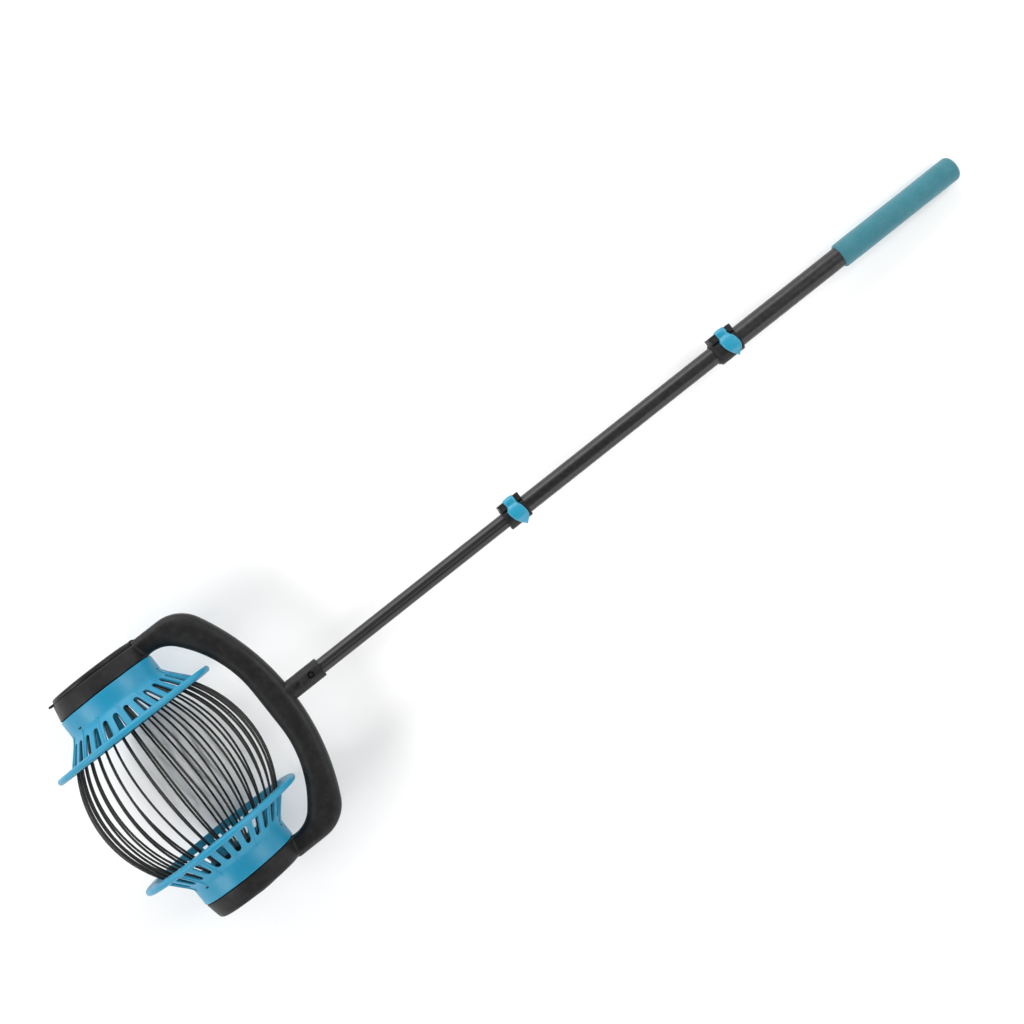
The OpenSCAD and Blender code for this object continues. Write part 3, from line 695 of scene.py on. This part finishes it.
def cap_skin(side):
    """Angle = slot's or rib's centre + asin(offset / radius). The slots' cells are left out."""
    columns = []
    for across, rise in zip(np.cos(arch_angle), np.sin(arch_angle)):
        rows = cap_rows(slot_arch + (slot_top_half + edge_round) * rise)
        offset = (slot_half(rows[:, 1]) + edge_round) * across
        columns.append((rows, offset, 0.0, 0.0))
    for offset, lift in zip(fin_offsets, fin_lift):
        rows = cap_rows(slot_arch)
        columns.append((rows, np.full(len(rows), offset), sector / 2, lift))
    carries_fin = (np.arange(slot_count) % 2 == 1).astype(float)
    angles, radii, distances = [], [], []
    for rows, offset, shift, lift in columns:
        x = rows[:, 1]
        fade = np.clip((111.8 - x) / 3.0, 0, 1) * ((row_kinds == 1) | (row_kinds == 2))
        r = rows[:, :1] + lift * fade[:, None] * carries_fin
        angles.append(slot_centres + shift + np.arcsin(offset[:, None] / r))
        radii.append(r)
        distances.append(np.repeat(x[:, None], slot_count, axis=1))
    shape = (len(row_kinds), -1)
    angle = np.stack(angles, axis=2).reshape(shape)
    r = np.stack(radii, axis=2).reshape(shape)
    x = np.stack(distances, axis=2).reshape(shape)
    rows, count = angle.shape
    faces = grid_faces(rows, count, wrap_rows=True).reshape(rows, count, 4)
    here, after = row_kinds, np.roll(row_kinds, -1)
    slot_band = ((here == 2) & (after == 2)) | ((here == 3) & (after == 3))
    over_slot = np.arange(count) % 18 < 8
    keep = ~(slot_band[:, None] & over_slot[None, :])
    return round_axle(side, r, x, angle), faces[keep]


def slot_walls(side):
    """Rings of the slot's outline, sinking through the skin: grown at both faces, true between."""
    parts = []
    grows = [edge_round, edge_round * 0.3, 0.0, 0.0, edge_round * 0.3, edge_round]
    depths = [0.0, edge_round * 0.3, edge_round]
    depths += [skin_depth - d for d in depths[::-1]]
    for centre in slot_centres:
        rings = []
        for grow, depth in zip(grows, depths):
            loop = slot_loop(grow)
            r = flare_outer(loop[:, 1]) - depth
            rings.append(round_axle(side, r, loop[:, 1], centre + np.arcsin(loop[:, 0] / r)))
        rings = np.stack(rings)
        parts.append((rings, grid_faces(rings.shape[0], rings.shape[1])))
    return parts


def box_points(centre, size):
    """The eight corners and six faces of a box, for cutting."""
    corners = np.array([(x, y, z) for x in (-1, 1) for y in (-1, 1) for z in (-1, 1)]) / 2
    faces = [(0, 1, 3, 2), (4, 6, 7, 5), (0, 4, 5, 1), (2, 3, 7, 6), (0, 2, 6, 4), (1, 5, 7, 3)]
    return corners * size + centre, faces


print("cap helpers ready")

# %% [markdown]
# Three lugs of the ring inside snap into small windows in the neck. Cutting is right for these:
# they are few, square, and meet only the plain neck.

# %% Both caps


def cut(piece, cutter_parts, name):
    """Takes the cutter's volume out of the piece and removes the cutter."""
    mesh = bpy.data.meshes.new(name)
    points, faces, offset = [], [], 0
    for part_points, part_faces in cutter_parts:
        flat = np.asarray(part_points, dtype=float).reshape(-1, 3)
        points.append(flat)
        faces.extend((np.asarray(f) + offset).tolist() for f in part_faces)
        offset += len(flat)
    mesh.from_pydata(np.concatenate(points).tolist(), [], faces)
    tidy = bmesh.new()
    tidy.from_mesh(mesh)
    bmesh.ops.remove_doubles(tidy, verts=tidy.verts, dist=1e-6)
    bmesh.ops.recalc_face_normals(tidy, faces=tidy.faces)
    tidy.to_mesh(mesh)
    tidy.free()
    cutter = bpy.data.objects.new(name, mesh)
    bpy.context.collection.objects.link(cutter)
    taking = piece.modifiers.new("cut", "BOOLEAN")
    taking.operation = "DIFFERENCE"
    taking.solver = "EXACT"
    taking.object = cutter
    apply_modifiers(piece)
    bpy.data.objects.remove(cutter)
    piece.data.set_sharp_from_angle(angle=math.radians(35))


window_angles = np.radians([-37.0, 83.0, 203.0])


def neck_windows(side):
    """Boxes through the neck's wall, each turned round the axle to its own angle."""
    parts = []
    for angle in window_angles:
        box, faces = box_points((113.4, 0.0, neck_r), (2.2, 4.8, 9.0))
        x, y, z = box.T
        turned_y = y * math.cos(angle) + z * math.sin(angle)
        turned_z = z * math.cos(angle) - y * math.sin(angle)
        turned = [side * x, turned_y, turned_z]
        parts.append((from_axle(np.stack(turned, axis=-1) * MM), faces))
    return parts


for side, node in ((-1, "left_cap"), (1, "right_cap")):
    skin_points, skin_faces = cap_skin(side)
    walls = [(from_axle(p), f) for p, f in slot_walls(side)]
    cap = make_piece(node + "_moulding", [(from_axle(skin_points), skin_faces)] + walls, "basket", node,
                     "blue_plastic")
    cut(cap, neck_windows(side), node + "_windows")

# %% [markdown]
# ## The sprung wires
# Forty wires bow out between the two rings. They are alike but not equal: they have been pushed
# aside many times, so neighbours lean together a little. Each is a tube along an arc, with its
# angle and its bow changed by small, smooth, seeded offsets.

# %% Wires
wire_count = 40
wire_phase = 1.5
wire_radius = 1.4
wire_arc = 142.4
wire_arc_centre = -38.7
wire_end = 109.5
chance = np.random.default_rng(7)


def wire_tubes(steps=84, sides=10):
    """Point = (R sin t, centre + R cos t) turned to the wire's angle, with a ring of radius r round it."""
    end_turn = math.asin(wire_end / wire_arc)
    t = np.linspace(-end_turn, end_turn, steps)
    x = wire_arc * np.sin(t)
    free = np.cos(np.pi / 2 * x / wire_end)
    parts = []
    for k in range(wire_count):
        base = math.radians(wire_phase + 9.0 * k)
        lean_by = math.radians(chance.normal(0, 0.3))
        skew_by = math.radians(chance.normal(0, 0.4))
        bow_by = chance.normal(0, 0.4)
        angle = base + lean_by * free + skew_by * np.sin(np.pi * x / wire_end)
        radius = wire_arc_centre + wire_arc * np.cos(t) + bow_by * free
        spine = np.stack([x, radius * np.sin(angle), radius * np.cos(angle)], axis=-1)
        along = np.gradient(spine, axis=0)
        along /= np.linalg.norm(along, axis=1, keepdims=True)
        outward = np.stack([0 * x, np.sin(angle), np.cos(angle)], axis=-1)
        across = np.cross(along, outward)
        across /= np.linalg.norm(across, axis=1, keepdims=True)
        outward = np.cross(across, along)
        turn_round = np.linspace(0, 2 * np.pi, sides, endpoint=False)
        ring = np.cos(turn_round)[None, :, None] * across[:, None, :]
        ring = ring + np.sin(turn_round)[None, :, None] * outward[:, None, :]
        tube = spine[:, None, :] + ring * wire_radius
        ends = [list(range(sides)), list(range((steps - 1) * sides, steps * sides))]
        faces = grid_faces(steps, sides).tolist() + ends
        parts.append((from_axle(tube * MM), faces))
    return parts


make_piece("sprung_wires", wire_tubes(), "basket", "basket_wires", "wire_black", sharp=60.0)

# %% [markdown]
# ## The yoke
# One black moulding: a bow round the basket, a hub at each end and the socket for the pole. The
# bow is a rounded section carried along two paired curves, one for its outer side and one for its
# inner side. The bow and the hubs are then melted together by a voxel remesh, because on the real
# part they run into each other without a seam, and the socket is a turned piece on its own.

# %% Bow curves
arm_start = 54.0
outer_line = 156.4
outer_corner_r = 45.0
outer_arc_r = 295.0
outer_arc_y = 163.2 - outer_arc_r
inner_line = 132.0
inner_corner_r = 35.0
inner_arc_r = 145.0
inner_arc_y = 127.3 - inner_arc_r
inner_flat = 25.0


def curve_half(line_x, corner_r, arc_r, arc_y, flat):
    """Down one arm and in to the middle: a straight arm, a corner arc and a wide arc with a flat."""
    corner_x = line_x - corner_r
    corner_y = arc_y + math.sqrt((arc_r - corner_r) ** 2 - (corner_x - flat) ** 2)
    meet = math.atan2(corner_x - flat, corner_y - arc_y)
    arm = np.stack([np.full(8, line_x), np.linspace(arm_start, corner_y, 8, endpoint=False)], axis=-1)
    a = np.linspace(np.pi / 2, meet, 28, endpoint=False)
    corner = np.stack([corner_x + corner_r * np.sin(a), corner_y + corner_r * np.cos(a)], axis=-1)
    x = np.linspace(corner_x + corner_r * math.sin(meet), 0, 40)
    wide = np.stack([x, arc_y + np.sqrt(arc_r ** 2 - np.maximum(x - flat, 0) ** 2)], axis=-1)
    half = np.concatenate([arm, corner, wide])
    return np.concatenate([half * (-1, 1), half[-2::-1]])


outer_curve = curve_half(outer_line, outer_corner_r, outer_arc_r, outer_arc_y, 0.0)
inner_curve = curve_half(inner_line, inner_corner_r, inner_arc_r, inner_arc_y, inner_flat)
print("bow curves:", outer_curve.shape)
print("middle y:", outer_curve[75, 1].round(2), inner_curve[75, 1].round(2))

# %% Bow and hubs as one


def bow_surface(sides=40):
    """Middle of the two curves plus a squared-up ring: cosine and sine raised to a power below one."""
    middle = (outer_curve + inner_curve) / 2
    reach = (outer_curve - inner_curve) / 2
    from_end = np.abs(np.linspace(-1, 1, len(middle)))
    half_thick = (28.0 + 2.0 * from_end) / 2
    a = np.linspace(0, 2 * np.pi, sides, endpoint=False)
    across = np.sign(np.cos(a)) * np.abs(np.cos(a)) ** 0.72
    rise = np.sign(np.sin(a)) * np.abs(np.sin(a)) ** 0.72
    xy = middle[:, None, :] + reach[:, None, :] * across[None, :, None]
    z = half_thick[:, None] * rise[None, :]
    points = np.concatenate([xy, z[:, :, None]], axis=-1)
    ends = [list(range(sides)), list(range((len(middle) - 1) * sides, len(middle) * sides))]
    return points * MM, grid_faces(len(middle), sides).tolist() + ends


hub_bore = 49.5
spigot_end = 112.5
hub_start = 131.5
open_hub_profile = np.concatenate([
    [[hub_bore, spigot_end], [55.4, spigot_end], [55.4, hub_start], [61.6, hub_start]],
    [[57.4, 152.0], [hub_bore, 152.0]],
])
closed_hub_profile = np.concatenate([
    [[hub_bore, spigot_end], [55.4, spigot_end], [55.4, hub_start], [61.6, hub_start], [58.4, 149.0]],
    arc(53.6, 149.6, 4.4, 8, 90, 7),
    [[0.4, 154.0], [0.4, 149.5], [hub_bore, 149.5]],
])

yoke_parts = [bow_surface()]
for profile, side in ((open_hub_profile, -1), (closed_hub_profile, 1)):
    yoke_parts.append(turned_about_x(profile, side, count=128))
yoke_parts = [(from_tool(points), faces) for points, faces in yoke_parts]
print("yoke parts:", [len(faces) for _, faces in yoke_parts])

# %% Melt and cut the yoke
yoke = make_piece("yoke_moulding", yoke_parts, "head", "yoke", "black_plastic")
melt = yoke.modifiers.new("melt", "REMESH")
melt.mode = "VOXEL"
melt.voxel_size = 1.35 * MM
relax = yoke.modifiers.new("relax", "SMOOTH")
relax.factor = 0.5
relax.iterations = 5
apply_modifiers(yoke)


def along_pole(radius, start, end, count=64):
    """A closed cylinder on the pole's line, for cutting or as a plain rod."""
    profile = [[0.0, start], [radius, start], [radius, end], [0.0, end]]
    points, faces = turned_about_y(profile, count)
    return from_tool(points), faces


def peg(centre, radius, low, high, count=40):
    """A closed upright cylinder at a place on the pole, for cutting holes from above."""
    a = np.linspace(0, 2 * np.pi, count, endpoint=False)[None, :]
    r = np.array([[0.0], [radius], [radius], [0.0]])
    z = np.array([[low], [low], [high], [high]])
    points = np.stack([centre[0] + r * np.cos(a), centre[1] + r * np.sin(a), z + 0 * a], axis=-1)
    return from_tool(points * MM), grid_faces(4, count, wrap_rows=True)


def lid_space():
    """The closed lid's room in the arm: a short drum round it and a round channel for its knuckle."""
    drum, drum_faces = turned_about_x([[0.0, 152.1], [55.9, 152.1], [55.9, 162.0], [0.0, 162.0]], -1, 96)
    return [(from_tool(drum), drum_faces), peg((-155.0, 56.5), 3.4, -8.5, 8.5)]


for cutter in lid_space():
    cut(yoke, [cutter], "lid_space")
cut(yoke, [along_pole(11.0, 141.5, 220.0)], "socket_root")
yoke.data.shade_smooth()
yoke.data.set_sharp_from_angle(angle=math.radians(48))
print("yoke:", len(yoke.data.polygons), "faces")

# %% [markdown]
# The socket holds the pole with a screw in a small recess and a snap button in a larger hole. It
# is turned, so that its rim and bore stay crisp, and it sinks well into the bow.

# %% Socket
socket_profile = np.concatenate([
    [[9.05, 139.0], [12.0, 139.0]],
    arc(11.2, 204.8, 0.8, 0, 90, 5),
    arc(9.55, 205.1, 0.5, 90, 180, 4),
])
points, faces = turned_about_y(socket_profile, 128)
socket = make_piece("yoke_socket", [(from_tool(points), faces)], "head", "yoke", "black_plastic")
cut(socket, [peg((0.0, 192.0), 4.0, 4.0, 20.0)], "button_hole")
cut(socket, [peg((0.0, 173.2), 3.0, 4.0, 20.0)], "screw_recess")

# %% [markdown]
# ## The emptying lid
# The lid closes the open hub and hinges at the arm. Its face is slightly domed with a soft step
# near the edge, and a flat tab for a fingernail stands out on the side away from the hinge.

# %% Lid
lid_r = 55.3
lid_profile = np.concatenate([
    [[0.3, 152.3], [46.7, 152.3], [46.7, 146.3], [47.0, 146.0], [48.9, 146.0], [49.2, 146.3], [49.2, 152.3]],
    arc(lid_r - 0.6, 152.9, 0.6, -90, 0, 4),
    [[lid_r, 155.4]],
    arc(lid_r - 2.6, 155.2, 2.6, 12, 80, 6),
    [[48.0, 157.65], [44.0, 157.9], [30.0, 157.95], [10.0, 158.0], [0.3, 158.0]],
])
points, faces = turned_about_x(lid_profile, -1, 160)
lid_parts = [(from_tool(points), faces)]
tab, tab_faces = box_points((-153.6, -57.0, 0.0), (2.6, 10.0, 16.0))
block, block_faces = box_points((-155.0, 54.0, 0.0), (5.2, 5.0, 16.0))
lid_parts.append((from_tool(tab * MM), tab_faces))
lid_parts.append((from_tool(block * MM), block_faces))
lid_parts.append(peg((-155.0, 56.5), 2.6, -8.0, 8.0))
lid = make_piece("emptying_lid_moulding", lid_parts, "lid", "emptying_lid", "black_plastic")
soften_edges(lid, 0.5 * MM, 2, 50.0)

# %% [markdown]
# ## The pole
# Three tubes slide in each other. The thin one has a rolled groove on top, which keeps it from
# turning; the other two are plain. Each is a profile turned or pulled along the pole's line.

# %% Tubes
wall = 1.1


def tube_profile(radius, start, end):
    """A tube wall with lightly broken corners."""
    inner = radius - wall
    return [
        [inner, start], [radius - 0.2, start], [radius, start + 0.2],
        [radius, end - 0.2], [radius - 0.2, end], [inner, end],
    ]


def grooved_tube(radius, start, end, groove_start, groove_end, count=144):
    """r = radius minus a groove whose depth falls smoothly from its middle line, faded at both ends."""
    y = np.concatenate([[start], np.linspace(groove_start - 4, groove_start + 4, 9)])
    y = np.concatenate([y, np.linspace(groove_end - 4, groove_end + 4, 9), [end]])
    fade = np.clip((y - groove_start + 4) / 8, 0, 1) * np.clip((groove_end + 4 - y) / 8, 0, 1)
    even = np.linspace(-1, 1, count, endpoint=False)
    a = np.pi * np.sign(even) * np.abs(even) ** 1.5
    near = np.abs(a) * radius
    dip = 0.6 / (1 + np.exp((near - 0.95) / 0.11))
    r = radius - dip[None, :] * fade[:, None]
    outer = np.stack([r * np.sin(a), np.repeat(y[:, None], count, axis=1), r * np.cos(a)], axis=-1)
    bore = radius - wall
    bore_x = bore * np.sin(a)[None, :] + 0 * r
    bore_z = bore * np.cos(a)[None, :] + 0 * r
    inner = np.stack([bore_x, outer[..., 1], bore_z], axis=-1)
    points = np.concatenate([outer, inner[::-1]])
    return points * MM, grid_faces(len(points), count, wrap_rows=True)


points, faces = grooved_tube(9.0, 151.0, 590.0, 205.6, 575.0)
make_piece("lower_pole", [(from_tool(points), faces)], "head", "lower_tube", "tube_black")
for name, radius, start, end, body in (
        ("middle", 11.0, 484.0, 860.0, "middle_section"), ("top", 12.5, 796.5, 1150.0, "top_section")):
    points, faces = turned_about_y(tube_profile(radius, start, end), 128)
    make_piece(name + "_pole", [(from_tool(points), faces)], body, name + "_tube", "tube_black")

# %% [markdown]
# ## The foam grip
# A foam sleeve with a closed, rounded end. It is pulled over the tube by hand, so it is never
# quite even: its radius swells and shrinks by a fraction of a millimetre, by a sum of slow waves.

# %% Grip
grip_r = 15.5
grip_start = 982.0
grip_end = 1160.0


def grip_surface(count=160):
    """The profile's radius is multiplied by one plus slow waves along the grip and round it."""
    straight = np.linspace(grip_start + 3.5, grip_end - 8, 60)
    outline = np.concatenate([
        [[12.55, grip_start + 0.6], [13.0, grip_start]],
        arc(grip_r - 3.0, grip_start + 3.0, 3.0, -80, -6, 8),
        np.stack([np.full(60, grip_r), straight], axis=-1),
        arc(grip_r - 7.0, grip_end - 7.0, 7.0, 4, 88, 14),
        [[4.0, grip_end - 0.02], [0.3, grip_end], [0.3, 1152.0], [12.55, 1152.0]],
    ])
    r, y = outline[:, :1], outline[:, 1:]
    a = np.linspace(0, 2 * np.pi, count, endpoint=False)[None, :]
    wave = 0.006 * np.sin(y / 23.0 + 1.3) + 0.004 * np.sin(y / 9.0) * np.sin(2 * a + 0.6)
    wave = wave - 0.007
    wave = np.where(r > 12.6, wave, 0.0)
    r = r * (1 + wave)
    points = np.stack([r * np.sin(a), y + 0 * a, r * np.cos(a)], axis=-1)
    return points * MM, grid_faces(len(outline), count, wrap_rows=True)


points, faces = grip_surface()
grip = make_piece("foam_grip_sleeve", [(from_tool(points), faces)], "top_section", "foam_grip", "grip_foam")

# %% [markdown]
# ## The flip clamps
# Each clamp is a split black collar with two ears, and a blue lever that hinges between them and
# wraps over the collar. The collar keeps its designed shape, with its edges rounded: a copy of the
# designed mesh is merged and bevelled. The lever is drawn afresh, because its rim matters.

# %% Collars


def rounded_copy(node, body, slot_name, width):
    """A merged copy of a CAD mesh with flat areas joined and its edges rounded."""
    mesh = frame["nodes"][node].data.copy()
    tidy = bmesh.new()
    tidy.from_mesh(mesh)
    bmesh.ops.remove_doubles(tidy, verts=tidy.verts, dist=2e-6)
    bmesh.ops.dissolve_limit(tidy, angle_limit=math.radians(1.0), verts=tidy.verts, edges=tidy.edges)
    bmesh.ops.recalc_face_normals(tidy, faces=tidy.faces)
    tidy.to_mesh(mesh)
    tidy.free()
    piece = bpy.data.objects.new(node + "_moulding", mesh)
    bpy.context.collection.objects.link(piece)
    mesh.materials.clear()
    mesh.materials.append(finishes[slot_name])
    mesh.shade_smooth()
    mesh.set_sharp_from_angle(angle=math.radians(30))
    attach(piece, body)
    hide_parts(node)
    soften_edges(piece, width, 3, 32.0)
    print(piece.name, len(mesh.polygons), "faces")
    return piece


rounded_copy("lower_collar", "middle_section", "black_plastic", 0.7 * MM)
rounded_copy("upper_collar", "top_section", "black_plastic", 0.7 * MM)

# %% [markdown]
# Seen from above, a lever is a skewed oval below a narrower barrel, with a bright bevel down both
# long edges. Its outer line in section goes round the barrel, over the collar and straight to the
# tip. The surface is that line, given a width at each point and a bevelled ring round it.

# %% Lever shape


def lever_line(body_r, barrel, tip_x, count=110):
    """The outer line in section: barrel arc, collar arc and straight tip, resampled and smoothed."""
    outer = body_r + 3.1
    barrel_arc = np.radians(np.linspace(232, 66, 40))
    over_barrel = np.stack([barrel[0] + 5 * np.cos(barrel_arc), barrel[1] + 5 * np.sin(barrel_arc)], axis=-1)
    start = math.asin((barrel[0] + 4.4) / outer)
    turn = math.radians(52)
    over_collar = np.linspace(start, turn, 50)
    over_collar = np.stack([outer * np.sin(over_collar), outer * np.cos(over_collar)], axis=-1)
    run = (tip_x - outer * math.sin(turn)) / math.cos(turn)
    step = np.linspace(0, run, 16)[1:]
    tip = over_collar[-1] + step[:, None] * np.array([math.cos(turn), -math.sin(turn)])
    line = np.concatenate([over_barrel, over_collar, tip])
    length = np.concatenate([[0], np.cumsum(np.linalg.norm(np.diff(line, axis=0), axis=1))])
    even = np.linspace(0, length[-1], count)
    line = np.stack([np.interp(even, length, line[:, k]) for k in (0, 1)], axis=-1)
    weights = np.hanning(9)
    weights /= weights.sum()
    padded = np.pad(line, ((4, 4), (0, 0)), mode="edge")
    smooth = np.stack([np.convolve(padded[:, k], weights, mode="valid") for k in (0, 1)], axis=-1)
    smooth[0], smooth[-1] = line[0], line[-1]
    return smooth


def lever_surface(start_y, body_r, barrel, barrel_y, paddle_y, tip_x):
    """Each ring: crown, bevel, side and underside between the left and right edge at that station."""
    line = lever_line(body_r, barrel, tip_x)
    along = np.gradient(line, axis=0)
    along /= np.linalg.norm(along, axis=1, keepdims=True)
    outward = np.stack([-along[:, 1], along[:, 0]], axis=-1)
    outward *= np.sign((outward[60] * line[60]).sum())
    x = line[:, 0]
    shoulder = barrel[0] + 6.2
    part = np.clip((x - shoulder) / (tip_x - shoulder), 0, 1)
    wide = paddle_y[1] - paddle_y[0]
    blend = 1 / (1 + np.exp(-(x - shoulder) / 0.8))
    left_edge = paddle_y[0] + wide * (0.03 * (1 - part) + 0.56 * part ** 2.6)
    right_edge = paddle_y[1] - wide * (0.17 * (1 - part) ** 1.6 + 0.44 * part ** 5.5)
    left = barrel_y[0] + (left_edge - barrel_y[0]) * blend
    right = barrel_y[1] + (right_edge - barrel_y[1]) * (1 / (1 + np.exp(-(x - shoulder) / 1.8)))
    end = np.clip((np.arange(len(x))[::-1]) / 5.0, 0, 1)
    width = right - left
    bevel = np.minimum(1.5, width * 0.3)
    crown = 0.35
    thick = 2.7 * np.sqrt(np.clip(end, 0.04, 1))
    q = np.linspace(-1, 1, 9)
    middle = (left + right) / 2
    top_y = middle[:, None] + (width / 2 - bevel)[:, None] * q
    top_h = crown * (1 - q ** 2)[None, :] - 0.9 * (1 - np.sqrt(end))[:, None]
    edge_right = np.stack([right - 0.35, right, right, right - 0.35], axis=1)
    edge_left = np.stack([left + 0.35, left, left, left + 0.35], axis=1)
    rim_h = -0.75 * end ** 0.5 - 0.2
    side_h = -1.15 * end ** 0.5 - 0.25
    edge_h = np.stack([rim_h, side_h, 0.45 - thick - 0.3, -thick - 0.1], axis=1)
    edge_h = np.minimum(edge_h, top_h[:, :1] - 0.05)
    y = np.concatenate([top_y, edge_right, edge_left[:, ::-1]], axis=1)
    h = np.concatenate([top_h, edge_h, edge_h[:, ::-1]], axis=1)
    points = np.stack([
        line[:, :1] + outward[:, :1] * h,
        start_y + y,
        line[:, 1:] + outward[:, 1:] * h,
    ], axis=-1)
    sides = points.shape[1]
    ends = [list(range(sides)), list(range((len(x) - 1) * sides, len(x) * sides))]
    return points * MM, grid_faces(len(x), sides).tolist() + ends


def barrel_core(start_y, barrel, barrel_y):
    """A turned core inside the barrel, with rounded ends, moved onto the lever's pin."""
    low, high = start_y + barrel_y[0], start_y + barrel_y[1]
    profile = np.concatenate([
        [[1.65, low]],
        arc(4.2, low + 0.6, 0.6, -90, 0, 4),
        arc(4.2, high - 0.6, 0.6, 0, 90, 4),
        [[1.65, high]],
    ])
    points, faces = turned_about_y(profile, 64)
    return points + np.array([barrel[0], 0.0, barrel[1]]) * MM, faces


turning_r = 5.4


def make_lever(name, body, start_y, body_r, barrel, barrel_y, paddle_y, tip_x):
    """Paddle and core in one piece, cut clear round its pin on both sides of the barrel."""
    paddle = lever_surface(start_y, body_r, barrel, barrel_y, paddle_y, tip_x)
    core = barrel_core(start_y, barrel, barrel_y)
    parts = [(from_tool(points), faces) for points, faces in (paddle, core)]
    lever = make_piece(name + "_moulding", parts, body, name, "lever_blue", sharp=30.0)
    for low, high in ((paddle_y[0] - 2.0, barrel_y[0] - 0.05), (barrel_y[1] + 0.05, paddle_y[1] + 2.0)):
        low, high = start_y + low, start_y + high
        points, faces = turned_about_y([[0.0, low], [turning_r, low], [turning_r, high], [0.0, high]], 64)
        points = points + np.array([barrel[0], 0.0, barrel[1]]) * MM
        cut(lever, [(from_tool(points), faces)], "turning_room")
    print(name + ":", len(lever.data.polygons), "faces")


make_lever("lower_lever", "lower_flip", 477.5, 14.0, (-14.9, 9.2), (9.2, 22.8), (5.6, 27.4), 19.2)
make_lever("upper_lever", "upper_flip", 790.0, 15.6, (-16.2, 10.4), (13.6, 27.0), (11.0, 33.6), 18.2)
